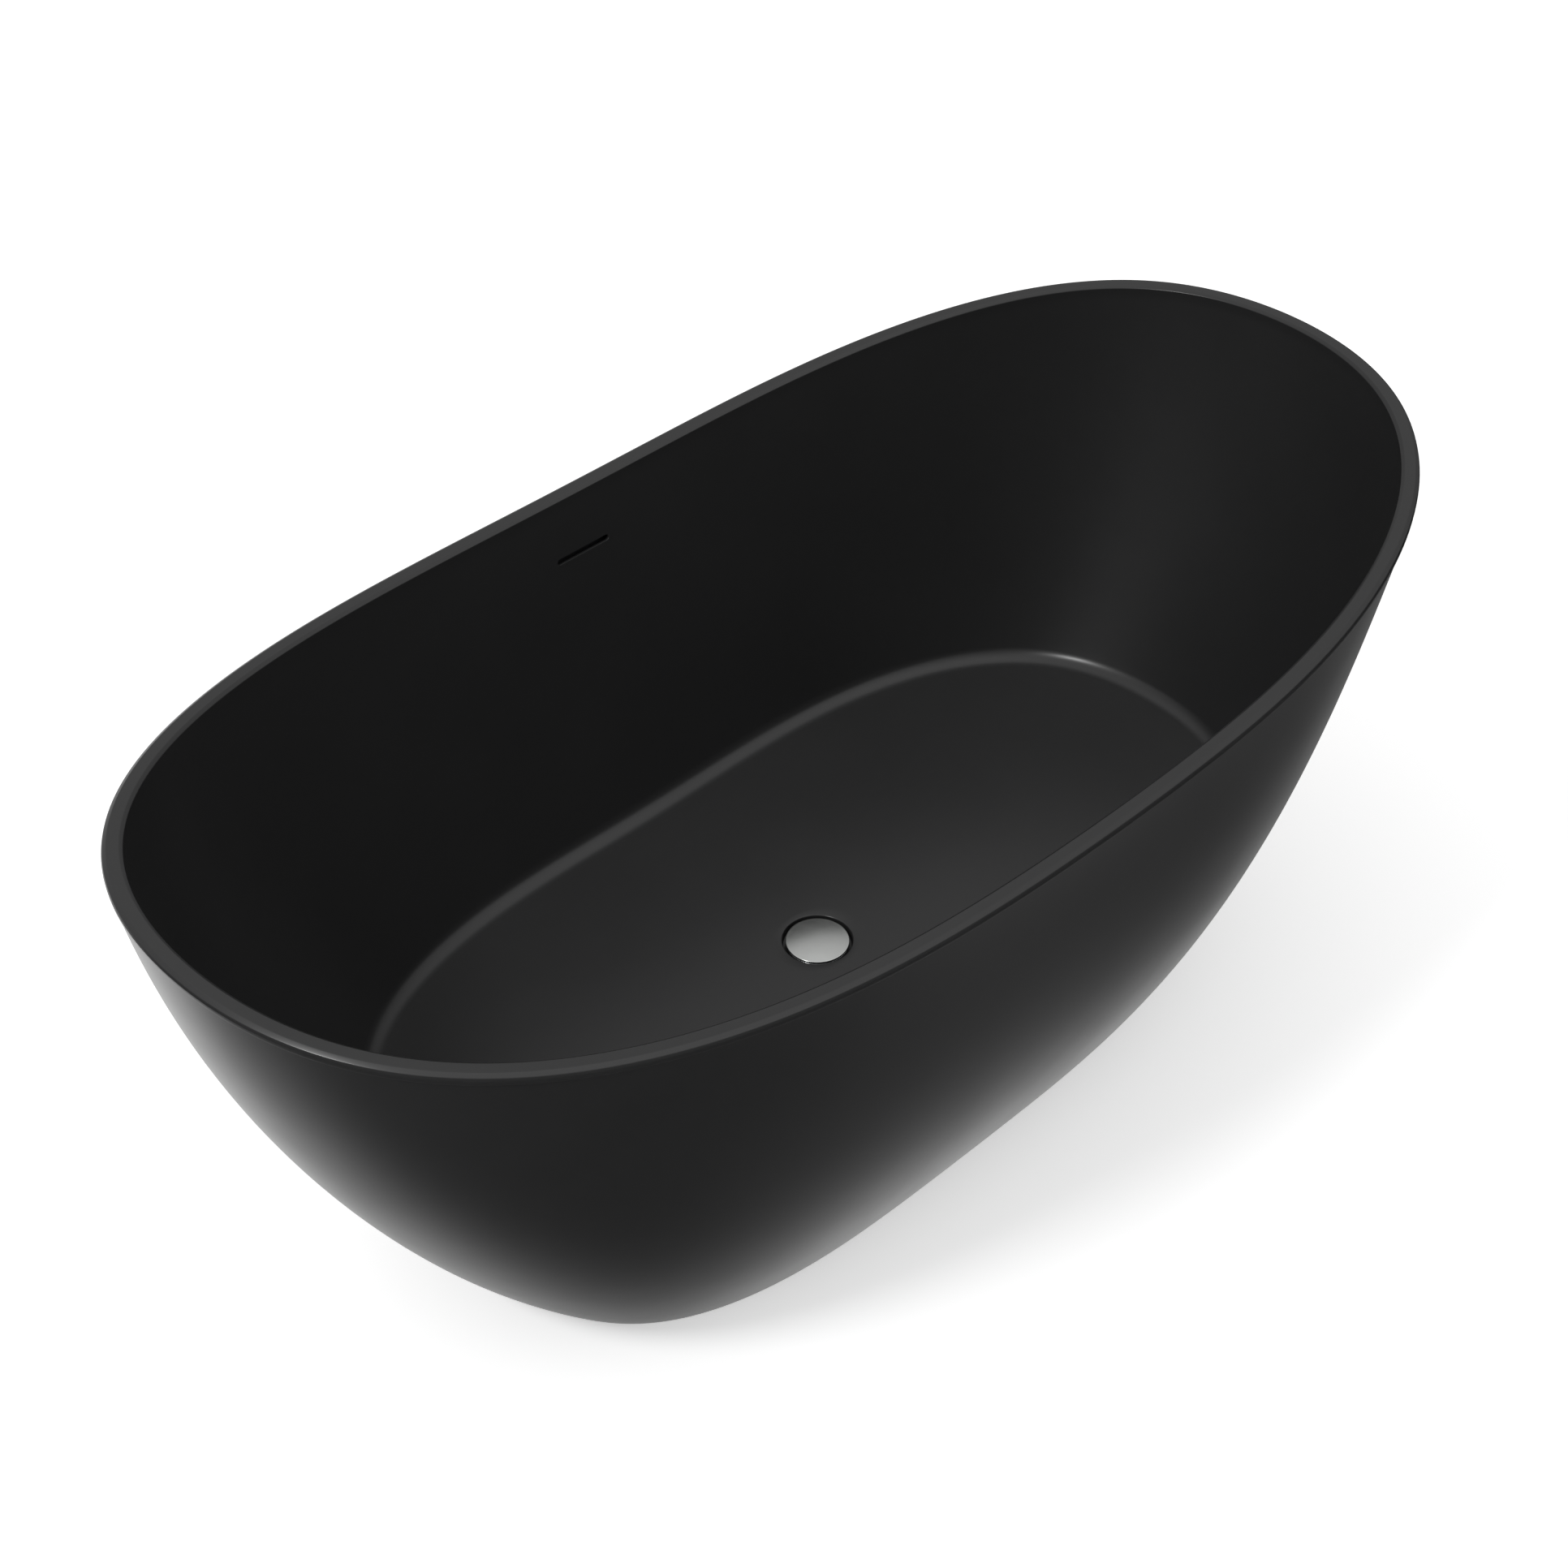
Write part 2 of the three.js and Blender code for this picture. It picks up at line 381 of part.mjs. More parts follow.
// space between the shells at x = 0: back of the basin and inner face of the skirt
const backLine = range(401).map((i) => {
  const f = innerFrame(Math.PI / 2), q = 2 * (i / 400), a = innerPoint(f, Math.max(0, q - 0.01)), b = innerPoint(f, Math.min(2, q + 0.01));
  const l = Math.hypot(b.y - a.y, b.z - a.z), p = innerPoint(f, q);
  return [p.y + ((b.z - a.z) / l) * SHELL_THICK, p.z - ((b.y - a.y) / l) * SHELL_THICK];
});
const basinBackY = (z) => Math.max(...backLine.filter(([, h]) => Math.abs(h - z) < 1.6).map(([y]) => y));
const cavityY = (z) => (basinBackY(z) + skirtInnerY(0, z)) / 2;
const DUCT_WIDTH = 60, DUCT_THICK = 5.6, DUCT_WALL = 1.1;
const ductTop = slotFrame.z + boxLow * Math.cos(slotFrame.tilt) - 4;
const ductEnd = { y: 272, z: 138 }, fall = Math.PI / 4;
const ductLine = [
  ...[ductTop, 420, 370, 320, 280, 250, 225, 205, 192, 180].map((z) => [cavityY(z), z]),
  [cavityY(180) - 4.2, 166], [cavityY(180) - 9.8, 155.5], [ductEnd.y + 8, ductEnd.z + 8], [ductEnd.y, ductEnd.z],
];
function band(line, width, half, past) {
  const pts = line.map(([y, z]) => new THREE.Vector2(y, z)), n = pts.length;
  const dir = (i) => pts[Math.min(n - 1, i + 1)].clone().sub(pts[Math.max(0, i - 1)]).normalize();
  pts[0].addScaledVector(dir(0), -past); pts[n - 1].addScaledVector(dir(n - 1), past);
  const side = (k) => pts.map((p, i) => { const d = dir(i); return new THREE.Vector2(p.x - d.y * half * k, p.y + d.x * half * k); });
  const s = new THREE.Shape([...side(1), ...side(-1).reverse()]);
  // section in (y, z), pushed along x
  return new THREE.ExtrudeGeometry(s, { depth: width, bevelEnabled: false }).rotateX(Math.PI / 2).rotateZ(Math.PI / 2).translate(-width / 2, 0, 0);
}
add('overflow_duct', cut(band(ductLine, DUCT_WIDTH, DUCT_THICK / 2, 0), band(ductLine, DUCT_WIDTH - 2 * DUCT_WALL, DUCT_THICK / 2 - DUCT_WALL, 3)), 'pp');

// adaptor from the flat duct to a round hose spigot; its axis falls inwards at 45 degrees
const axisDir = V(0, -Math.sin(fall), -Math.cos(fall)), axisUp = V(0, Math.cos(fall), -Math.sin(fall));
const onAxis = (s, w, h, flat = false) => range(16).map((i) => {
  const a = (2 * Math.PI * i) / 16, c = Math.cos(a), q = Math.sin(a), m = flat ? Math.max(Math.abs(c), Math.abs(q)) : 1;
  const x = (w / 2) * (c / m), y = (h / 2) * (q / m);
  return V(x, ductEnd.y, ductEnd.z).addScaledVector(axisDir, s).addScaledVector(axisUp, y);
});
add('overflow_adaptor', skin([
  onAxis(-7, 65, 9.8, true), onAxis(3, 65, 9.8, true), onAxis(24, 30, 30), onAxis(25, 24, 24), onAxis(48, 24, 24),
  onAxis(48, 20, 20), onAxis(22, 20, 20), onAxis(1.2, 56, 3.6, true), onAxis(0.6, 61.4, 6.8, true), onAxis(-7, 61.4, 6.8, true),
], true), 'abs');

// hose from the adaptor to the waste tee
class HoseLine extends THREE.Curve {
  constructor() {
    super();
    const p = (s) => V(0, ductEnd.y, ductEnd.z).addScaledVector(axisDir, s);
    this.path = new THREE.CurvePath();
    this.path.add(new THREE.LineCurve3(p(25.6), p(50)));
    this.path.add(new THREE.CubicBezierCurve3(p(50), p(78), V(0, 185, 76), V(0, 140, 76)));
    this.path.add(new THREE.LineCurve3(V(0, 140, 76), V(0, 28, 76)));
  }
  getPoint(u) { return this.path.getPointAt(u); }
}
{
  const s = new THREE.Shape(), h = new THREE.Path();
  range(12).forEach((i) => { const a = (i * Math.PI) / 6, p = [15.2 * Math.cos(a), 15.2 * Math.sin(a)]; if (i) s.lineTo(...p); else s.moveTo(...p); });
  range(12).forEach((i) => { const a = (-i * Math.PI) / 6, p = [13.4 * Math.cos(a), 13.4 * Math.sin(a)]; if (i) h.lineTo(...p); else h.moveTo(...p); });
  s.closePath(); h.closePath(); s.holes.push(h);
  add('overflow_hose', new THREE.ExtrudeGeometry(s, { steps: 18, extrudePath: new HoseLine(), bevelEnabled: false }), 'hose');
}
const clip = () => cut(join(ring(15.6, 16.8, -5, 5, 24), block(-6, 6, 15.9, 22, -5, 5)), cylinderZ(15.6, -8, 8, 24));
add('hose_clip_lower', clip().rotateX(Math.PI / 2).rotateY(Math.PI).translate(0, 42, 76), 'zinc');
{
  const c = V(0, ductEnd.y, ductEnd.z).addScaledVector(axisDir, 37);
  add('hose_clip_upper', clip().rotateX(-fall).translate(0, c.y, c.z), 'zinc');
}

export default tub;
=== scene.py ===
# Freestanding matt black bathtub: smooth shells, waste, overflow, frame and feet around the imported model.
import math

import bpy
import numpy as np
from mathutils import Matrix, Vector


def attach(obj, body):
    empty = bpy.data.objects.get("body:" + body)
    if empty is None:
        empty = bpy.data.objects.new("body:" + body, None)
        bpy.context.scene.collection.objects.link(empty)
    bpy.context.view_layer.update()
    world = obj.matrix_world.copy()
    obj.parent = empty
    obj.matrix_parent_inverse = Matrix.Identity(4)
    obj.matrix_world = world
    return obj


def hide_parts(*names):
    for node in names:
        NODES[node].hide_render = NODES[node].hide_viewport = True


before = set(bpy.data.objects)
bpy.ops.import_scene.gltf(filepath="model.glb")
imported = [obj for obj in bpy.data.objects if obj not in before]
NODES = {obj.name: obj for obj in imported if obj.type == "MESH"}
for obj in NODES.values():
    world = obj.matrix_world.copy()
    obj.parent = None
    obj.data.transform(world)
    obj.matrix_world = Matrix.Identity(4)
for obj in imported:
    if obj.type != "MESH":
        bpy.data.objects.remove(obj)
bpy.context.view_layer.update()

PI = math.pi
MM = 0.001

# ------------------------------------------------------------------ camera
yaw, pitch, roll = 0.79035, -0.69654, -0.00077
fw = Vector((math.cos(pitch) * math.cos(yaw), math.cos(pitch) * math.sin(yaw), math.sin(pitch)))
right = fw.cross(Vector((0, 0, 1))).normalized()
up = right.cross(fw)
r2 = right * math.cos(roll) + up * math.sin(roll)
u2 = up * math.cos(roll) - right * math.sin(roll)
cam_data = bpy.data.cameras.new("studio_camera")
cam = bpy.data.objects.new("studio_camera", cam_data)
bpy.context.scene.collection.objects.link(cam)
rot = Matrix((r2, u2, -fw)).transposed().to_4x4()
cam.matrix_world = Matrix.Translation(Vector((-1.531459, -1.534267, 2.210598))) @ rot
cam_data.sensor_fit = "HORIZONTAL"
cam_data.sensor_width = 36.0
cam_data.lens = 36.0 * 3410.487 / 1932.0
cam_data.shift_x = -(997.00 - 966.0) / 1932.0
cam_data.shift_y = (953.78 - 966.0) / 1932.0
cam_data.clip_start = 0.01
cam_data.clip_end = 200.0
bpy.context.scene.camera = cam

# ------------------------------------------------------------------ surfaces of the tub, in millimetres (same as the CAD)
RIM_A, RIM_B, RIM_C = 784.673, 400.704, ((2, -0.0098), (4, -0.0394), (6, 0.005))
BASE_A, BASE_B, BASE_C = 526.271, 217.86, ((2, -0.0845), (4, -0.0376), (6, 0.0214))
FLOOR_A, FLOOR_B, FLOOR_X, FLOOR_C = 523.577, 302.749, 12.94, ((2, 0.06832), (4, -0.04727))
RIM_W, RIM_R, LIP, SHELL, FILLET = 19.7, 6.0, 10.0, 4.2, 23.0
FLOOR_Z, SEAT_Z = 166.0, 157.0


def closed(a, b, c, x0, t):
    m = 1 + sum(v * np.cos(k * t) for k, v in c)
    return np.stack([x0 + a * np.cos(t) * m, b * np.sin(t) * m], -1)


def rim_xy(t):
    return closed(RIM_A, RIM_B, RIM_C, 0, t)


def rim_z(t):
    u = rim_xy(t)[..., 0] / RIM_A
    return 566.581 + 61.358 * u**2 - 0.455 * u**4 + 1.446 * u**6


def base_xy(t):
    return closed(BASE_A, BASE_B, BASE_C, 0, t)


def floor_xy(t):
    return closed(FLOOR_A, FLOOR_B, FLOOR_C, FLOOR_X, t)


def floor_z(x):
    return FLOOR_Z + 20.0 * (x / 560.0) ** 2


def outward(curve, t):
    a, b = curve(t - 1e-3), curve(t + 1e-3)
    d = b - a
    d /= np.linalg.norm(d, axis=-1, keepdims=True)
    return np.stack([d[..., 1], -d[..., 0]], -1)


def skirt_xy(t, z):
    s = z / rim_z(t)
    c2 = np.cos(t) ** 2
    w1 = 0.5519 * c2 + 0.75 * (1 - c2)
    w2 = 0.9096 * c2 + 0.7551 * (1 - c2)
    w = 3 * s * (1 - s) ** 2 * w1 + 3 * s * s * (1 - s) * w2 + s**3
    r, b = rim_xy(t), base_xy(t)
    return b + (r - b) * w[..., None]


class Inner:
    def __init__(self, t):
        self.f, self.n = floor_xy(t), outward(floor_xy, t)
        r, m = rim_xy(t), outward(rim_xy, t)
        self.top = np.concatenate([r - m * RIM_W, (rim_z(t) - RIM_R)[:, None]], 1)
        c = np.cos(t)
        self.bulge = np.where(c > 0, 18.0, 34.0) * c * c
        self.fz = floor_z(self.f[:, 0])
        self.a0 = np.arctan(2 * 20.0 * self.f[:, 0] * self.n[:, 0] / 560.0**2)
        al = np.full(len(t), 1.3)
        for _ in range(6):
            run = FILLET * (np.sin(al) - np.sin(self.a0))
            foot = np.concatenate([self.f + self.n * run[:, None],
                                   (self.fz + FILLET * (np.cos(self.a0) - np.cos(al)))[:, None]], 1)
            out = ((self.top[:, :2] - foot[:, :2]) * self.n).sum(1) + 4 * self.bulge
            al = np.arctan2(self.top[:, 2] - foot[:, 2], out)
        self.al, self.foot = al, foot

    def at(self, q):
        if q <= 1:
            a = self.a0 + (self.al - self.a0) * q
            run = FILLET * (np.sin(a) - np.sin(self.a0))
            return np.concatenate([self.f + self.n * run[:, None],
                                   (self.fz + FILLET * (np.cos(self.a0) - np.cos(a)))[:, None]], 1)
        s = q - 1
        p = self.foot + (self.top - self.foot) * s
        p[:, :2] += self.n * (self.bulge * 4 * s * (1 - s))[:, None]
        return p


def arc(cx, cy, r, a0, a1, n):
    a = np.linspace(a0, a1, n + 1)
    return [(cx + r * math.cos(k), cy + r * math.sin(k)) for k in a]


# ------------------------------------------------------------------ mesh helpers
def make(name, verts, faces, body, mat, nodes=(), angle=35, scale=MM):
    me = bpy.data.meshes.new(name)
    me.from_pydata([tuple(float(c) * scale for c in v) for v in verts], [], [tuple(int(i) for i in f) for f in faces])
    me.validate()
    me.update()
    return place(name, me, body, mat, nodes, angle)


def place(name, me, body, mat, nodes=(), angle=35):
    ob = bpy.data.objects.new(name, me)
    bpy.context.scene.collection.objects.link(ob)
    me.materials.clear()
    me.materials.append(mat)
    shade(me, angle)
    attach(ob, body)
    if nodes:
        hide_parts(*nodes)
    return ob


def shade(me, angle):
    if angle is None:
        return
    me.shade_smooth()
    me.set_sharp_from_angle(angle=math.radians(angle))


def skin(rings, loop=False):
    """rings of equal length, or single points as poles; loop joins the last ring to the first"""
    verts, start = [], []
    for r in rings:
        start.append(len(verts))
        verts.extend(np.atleast_2d(r).tolist())
    faces = []
    for j in range(len(rings) if loop else len(rings) - 1):
        k = (j + 1) % len(rings)
        a, b = len(np.atleast_2d(rings[j])), len(np.atleast_2d(rings[k]))
        A, B, n = start[j], start[k], max(a, b)
        for i in range(n):
            i2 = (i + 1) % n
            if a == 1:
                faces.append((A, B + i2, B + i))
            elif b == 1:
                faces.append((A + i, A + i2, B))
            else:
                faces.append((A + i, A + i2, B + i2, B + i))
    v = np.array(verts)
    vol = 0.0
    for f in faces:
        for i in range(1, len(f) - 1):
            vol += float(np.dot(v[f[0]], np.cross(v[f[i]], v[f[i + 1]])))
        if len(faces) > 4000:
            break
    if len(faces) > 4000:
        vol = 0.0
        q = np.array([f if len(f) == 4 else (f[0], f[1], f[2], f[2]) for f in faces])
        for a, b, c in ((0, 1, 2), (0, 2, 3)):
            vol += np.einsum("ij,ij->i", v[q[:, a]], np.cross(v[q[:, b]], v[q[:, c]])).sum()
    if vol < 0:
        faces = [f[::-1] for f in faces]
    return verts, faces


def soften(profile, r=0.5, n=3, closed_loop=True):
    """rounds the corners of a polyline of (radius, z) points"""
    P = [np.array(p, float) for p in profile]
    N = len(P)
    out = []
    for i, p in enumerate(P):
        if not closed_loop and i in (0, N - 1):
            out.append(tuple(p))
            continue
        a, b = P[i - 1], P[(i + 1) % N]
        da, db = a - p, b - p
        la, lb = np.linalg.norm(da), np.linalg.norm(db)
        if la < 1e-6 or lb < 1e-6:
            continue
        da, db = da / la, db / lb
        cosang = float(np.clip(np.dot(da, db), -1, 1))
        if cosang < -0.995:
            out.append(tuple(p))
            continue
        half = math.acos(cosang) / 2
        d = min(r / math.tan(half), 0.45 * la, 0.45 * lb)
        rr = d * math.tan(half)
        c = p + (da + db) / np.linalg.norm(da + db) * (rr / math.sin(half))
        s, e = p + da * d - c, p + db * d - c
        a0, a1 = math.atan2(s[1], s[0]), math.atan2(e[1], e[0])
        while a1 - a0 > PI:
            a1 -= 2 * PI
        while a1 - a0 < -PI:
            a1 += 2 * PI
        for k in range(n + 1):
            q = a0 + (a1 - a0) * k / n
            out.append((c[0] + rr * math.cos(q), c[1] + rr * math.sin(q)))
    return out


def rings_of(profile, seg=72, x=0.0, y=0.0, shape=None):
    """star-shaped rings about a vertical axis; shape(theta, r, z) -> radius"""
    th = np.arange(seg) * 2 * PI / seg
    rings = []
    for r, z in profile:
        if r < 1e-6:
            rings.append(np.array([[x, y, z]]))
            continue
        rr = np.full(seg, float(r)) if shape is None else shape(th, float(r), float(z))
        rings.append(np.stack([x + rr * np.cos(th), y + rr * np.sin(th), np.full(seg, float(z))], -1))
    return rings


def lathe(profile, seg=72, loop=True, x=0.0, y=0.0, shape=None, soft=0.4, n=3):
    if soft:
        profile = soften(profile, soft, n, loop)
    return skin(rings_of(profile, seg, x, y, shape), loop)


def turn(vf, m):
    """verts, faces moved by a 4x4 matrix"""
    v, f = vf
    v = np.array(v) @ np.array(m)[:3, :3].T + np.array(m)[:3, 3]
    return v.tolist(), f


def joined(*parts):
    V, F = [], []
    for v, f in parts:
        o = len(V)
        V.extend([list(p) for p in v])
        F.extend([tuple(i + o for i in k) for k in f])
    return V, F


def rounded_box(x0, x1, y0, y1, z0, z1, r=1.0, n=3):
    """box with all edges rounded, as a stack of rounded rectangles"""
    prof = []
    for k in range(n + 1):
        a = PI / 2 * k / n
        prof.append((r * (1 - math.sin(a)), z0 + r * (1 - math.cos(a))))
    for k in range(n + 1):
        a = PI / 2 * k / n
        prof.append((r * (1 - math.cos(a)), z1 - r + r * math.sin(a)))
    rings = []
    for inset, z in prof:
        ring = []
        rr = max(r * 1.6 - inset, 0.15)
        for cx, cy, a0 in ((x1, y1, 0), (x0, y1, 90), (x0, y0, 180), (x1, y0, 270)):
            sx, sy = (1 if cx == x1 else -1), (1 if cy == y1 else -1)
            ox, oy = cx - sx * (inset + rr), cy - sy * (inset + rr)
            for k in range(n + 2):
                a = math.radians(a0 + 90 * k / (n + 1))
                ring.append((ox + rr * math.cos(a), oy + rr * math.sin(a), z))
        rings.append(np.array(ring))
    c0 = np.array([[(x0 + x1) / 2, (y0 + y1) / 2, z0]])
    c1 = np.array([[(x0 + x1) / 2, (y0 + y1) / 2, z1]])
    return skin([c0] + rings + [c1])


def tmp_object(vf, scale=MM):
    me = bpy.data.meshes.new("tmp")
    me.from_pydata([tuple(float(c) * scale for c in p) for p in vf[0]], [], [tuple(int(i) for i in f) for f in vf[1]])
    me.validate()
    me.update()
    ob = bpy.data.objects.new("tmp", me)
    bpy.context.scene.collection.objects.link(ob)
    return ob


def evaluated(ob):
    dg = bpy.context.evaluated_depsgraph_get()
    me = bpy.data.meshes.new_from_object(ob.evaluated_get(dg))
    return me


def csg(base, *steps):
    """base and tools are (verts, faces) in millimetres; returns a mesh in metres"""
    a = tmp_object(base)
    tools = []
    for op, vf in steps:
        b = tmp_object(vf)
        tools.append(b)
        m = a.modifiers.new("b", "BOOLEAN")
        m.operation = op
        m.solver = "EXACT"
        m.object = b
    me = evaluated(a)
    for o in [a] + tools:
        d = o.data
        bpy.data.objects.remove(o)
        bpy.data.meshes.remove(d)
    return me


def softened_copy(node, width=0.5, segments=2, angle=30):
    """a bevelled copy of a CAD node's mesh"""
    me = NODES[node].data.copy()
    ob = bpy.data.objects.new("tmp", me)
    bpy.context.scene.collection.objects.link(ob)
    w = ob.modifiers.new("w", "WELD")
    w.merge_threshold = 1e-6
    d = ob.modifiers.new("d", "DECIMATE")
    d.decimate_type = "DISSOLVE"
    d.angle_limit = math.radians(1.0)
    b = ob.modifiers.new("v", "BEVEL")
    b.width = width * MM
    b.segments = segments
    b.limit_method = "ANGLE"
    b.angle_limit = math.radians(angle)
    b.harden_normals = False
    out = evaluated(ob)
    bpy.data.objects.remove(ob)
    bpy.data.meshes.remove(me)
    return out


# ------------------------------------------------------------------ materials, all node based
def finish(name, base, rough, metal=0.0, vary=0.10, vary_scale=9.0, grain=0.0, grain_scale=900.0, rough_vary=0.06,
           rough_scale=30.0, bump=0.1, bump_scale=1500.0, bump_mm=0.02, spec=0.5, tint=None, kind=None, coat=0.0):
    m = bpy.data.materials.new(name)
    m.use_nodes = True
    nt = m.node_tree
    nt.nodes.clear()
    N, L = nt.nodes, nt.links
    out = N.new("ShaderNodeOutputMaterial")
    b = N.new("ShaderNodeBsdfPrincipled")
    L.new(b.outputs[0], out.inputs[0])
    b.inputs["Metallic"].default_value = metal
    b.inputs["Specular IOR Level"].default_value = spec
    b.inputs["Coat Weight"].default_value = coat
    tc = N.new("ShaderNodeTexCoord")
    P = tc.outputs["Object"]

    def noise(scale, detail=4.0, rough_n=0.55, src=P):
        n = N.new("ShaderNodeTexNoise")
        n.inputs["Scale"].default_value = scale
        n.inputs["Detail"].default_value = detail
        n.inputs["Roughness"].default_value = rough_n
        L.new(src, n.inputs["Vector"])
        return n.outputs["Fac"]

    def ramp(src, a, c, p0=0.3, p1=0.7):
        r = N.new("ShaderNodeValToRGB")
        r.color_ramp.elements[0].position = p0
        r.color_ramp.elements[1].position = p1
        r.color_ramp.elements[0].color = (*a, 1)
        r.color_ramp.elements[1].color = (*c, 1)
        L.new(src, r.inputs["Fac"])
        return r.outputs["Color"]

    def mult(a, c, fac=1.0):
        x = N.new("ShaderNodeMix")
        x.data_type = "RGBA"
        x.blend_type = "MULTIPLY"
        x.inputs["Factor"].default_value = fac
        L.new(a, x.inputs["A"])
        L.new(c, x.inputs["B"])
        return x.outputs["Result"]

    def mix(f, a, c):
        x = N.new("ShaderNodeMix")
        x.data_type = "RGBA"
        L.new(f, x.inputs["Factor"])
        L.new(a, x.inputs["A"])
        L.new(c, x.inputs["B"])
        return x.outputs["Result"]

    def span(src, lo, hi, a=0.3, c=0.7):
        r = N.new("ShaderNodeMapRange")
        r.inputs["From Min"].default_value = a
        r.inputs["From Max"].default_value = c
        r.inputs["To Min"].default_value = lo
        r.inputs["To Max"].default_value = hi
        L.new(src, r.inputs["Value"])
        return r.outputs["Result"]

    t = tint or base
    lo = tuple(max(0.0, k * (1 - vary)) for k in base)
    hi = tuple(min(1.0, k * (1 + vary)) for k in t)
    col = ramp(noise(vary_scale), lo, hi)
    if grain:
        col = mult(col, ramp(noise(grain_scale, 2.0), (1 - grain,) * 3, (1.0,) * 3, 0.35, 0.65))
    height = noise(bump_scale, 3.0)
    if kind == "chips":
        v = N.new("ShaderNodeTexVoronoi")
        v.inputs["Scale"].default_value = 260.0
        L.new(P, v.inputs["Vector"])
        col = mult(col, ramp(v.outputs["Distance"], (0.55, 0.50, 0.45), (1.0, 1.0, 1.0), 0.1, 0.75))
        w = N.new("ShaderNodeTexVoronoi")
        w.inputs["Scale"].default_value = 120.0
        L.new(P, w.inputs["Vector"])
        sep = N.new("ShaderNodeSeparateColor")
        L.new(w.outputs["Color"], sep.inputs[0])
        col = mult(col, ramp(sep.outputs[0], (0.72, 0.66, 0.58), (1.0, 0.98, 0.94), 0.0, 1.0))
        height = v.outputs["Distance"]
    if kind == "spangle":
        v = N.new("ShaderNodeTexVoronoi")
        v.inputs["Scale"].default_value = 210.0
        L.new(P, v.inputs["Vector"])
        sep = N.new("ShaderNodeSeparateColor")
        L.new(v.outputs["Color"], sep.inputs[0])
        col = mult(col, ramp(sep.outputs[0], (0.82,) * 3, (1.0,) * 3, 0.0, 1.0))
        L.new(span(sep.outputs[1], rough - rough_vary, rough + rough_vary, 0.0, 1.0), b.inputs["Roughness"])
    if kind == "powder":
        v = N.new("ShaderNodeTexVoronoi")
        v.feature = "SMOOTH_F1"
        v.inputs["Scale"].default_value = 700.0
        L.new(P, v.inputs["Vector"])
        height = v.outputs["Distance"]
    if kind == "worn_steel":
        rust = noise(60.0, 8.0, 0.7)
        col = mix(span(rust, 0.0, 0.8, 0.60, 0.72), col, ramp(noise(420.0), (0.10, 0.045, 0.018), (0.20, 0.095, 0.04)))
    if kind == "turned":
        # fine concentric tool marks about each piece's own axis would need its centre: rings about the tub's vertical axis
        g = N.new("ShaderNodeVectorMath")
        g.operation = "MULTIPLY"
        g.inputs[1].default_value = (1, 1, 0)
        L.new(P, g.inputs[0])
        ln = N.new("ShaderNodeVectorMath")
        ln.operation = "LENGTH"
        L.new(g.outputs[0], ln.inputs[0])
        cx = N.new("ShaderNodeCombineXYZ")
        L.new(ln.outputs["Value"], cx.inputs[0])
        height = noise(2600.0, 4.0, 0.6, cx.outputs[0])
        col = mult(col, ramp(height, (0.93,) * 3, (1.0,) * 3, 0.3, 0.7))
    L.new(col, b.inputs["Base Color"])
    if kind != "spangle":
        L.new(span(noise(rough_scale, 5.0), rough - rough_vary, rough + rough_vary), b.inputs["Roughness"])
    bp = N.new("ShaderNodeBump")
    bp.inputs["Strength"].default_value = bump
    bp.inputs["Distance"].default_value = bump_mm * MM
    L.new(height, bp.inputs["Height"])
    L.new(bp.outputs["Normal"], b.inputs["Normal"])
    return m


M_SHELL = finish("satin_black_acrylic", (0.0205, 0.0205, 0.0208), 0.29, vary=0.06, vary_scale=5.0, grain=0.025, grain_scale=70.0,
                 rough_vary=0.015, rough_scale=9.0, bump=0.05, bump_scale=60.0, bump_mm=0.01, spec=0.50)
M_INSIDE = finish("laminate_back", (0.020, 0.020, 0.022), 0.62, vary=0.25, vary_scale=35.0, grain=0.25, grain_scale=320.0,
                  rough_vary=0.12, rough_scale=80.0, bump=0.5, bump_scale=420.0, bump_mm=0.15, spec=0.4)
M_CHROME = finish("satin_chrome", (0.555, 0.565, 0.553), 0.25, metal=1.0, vary=0.02, vary_scale=30.0, rough_vary=0.02, rough_scale=90.0,
                  bump=0.02, bump_scale=420.0, bump_mm=0.002)
M_BODY_CHROME = finish("waste_chrome", (0.50, 0.505, 0.515), 0.22, metal=1.0, vary=0.05, vary_scale=70.0, rough_vary=0.06, rough_scale=120.0,
                       bump=0.12, bump_mm=0.01, kind="turned")
M_BRASS = finish("turned_brass", (0.62, 0.42, 0.16), 0.30, metal=1.0, vary=0.12, vary_scale=90.0, grain=0.10, grain_scale=500.0,
                 rough_vary=0.10, rough_scale=110.0, bump=0.18, bump_mm=0.015, kind="turned", tint=(0.66, 0.47, 0.20))
M_ZINC = finish("zinc_plate", (0.52, 0.54, 0.56), 0.34, metal=1.0, vary=0.10, vary_scale=60.0, grain=0.08, grain_scale=800.0,
                rough_vary=0.09, bump=0.15, bump_scale=900.0, bump_mm=0.02, kind="spangle", tint=(0.56, 0.56, 0.53))
M_STEEL = finish("grey_powder_coat", (0.085, 0.090, 0.096), 0.46, metal=0.0, vary=0.10, vary_scale=25.0, grain=0.08, grain_scale=700.0,
                 rough_vary=0.06, rough_scale=60.0, bump=0.35, bump_mm=0.05, kind="powder", spec=0.5)
M_WELD = finish("bare_weld", (0.17, 0.165, 0.16), 0.48, metal=0.85, vary=0.25, vary_scale=150.0, grain=0.2, grain_scale=900.0,
                rough_vary=0.14, rough_scale=200.0, bump=0.5, bump_scale=700.0, bump_mm=0.08, kind="worn_steel")
M_BOARD = finish("chipboard", (0.33, 0.215, 0.115), 0.82, vary=0.18, vary_scale=45.0, grain=0.2, grain_scale=900.0,
                 rough_vary=0.08, bump=0.6, bump_mm=0.25, kind="chips", spec=0.3, tint=(0.38, 0.26, 0.15))
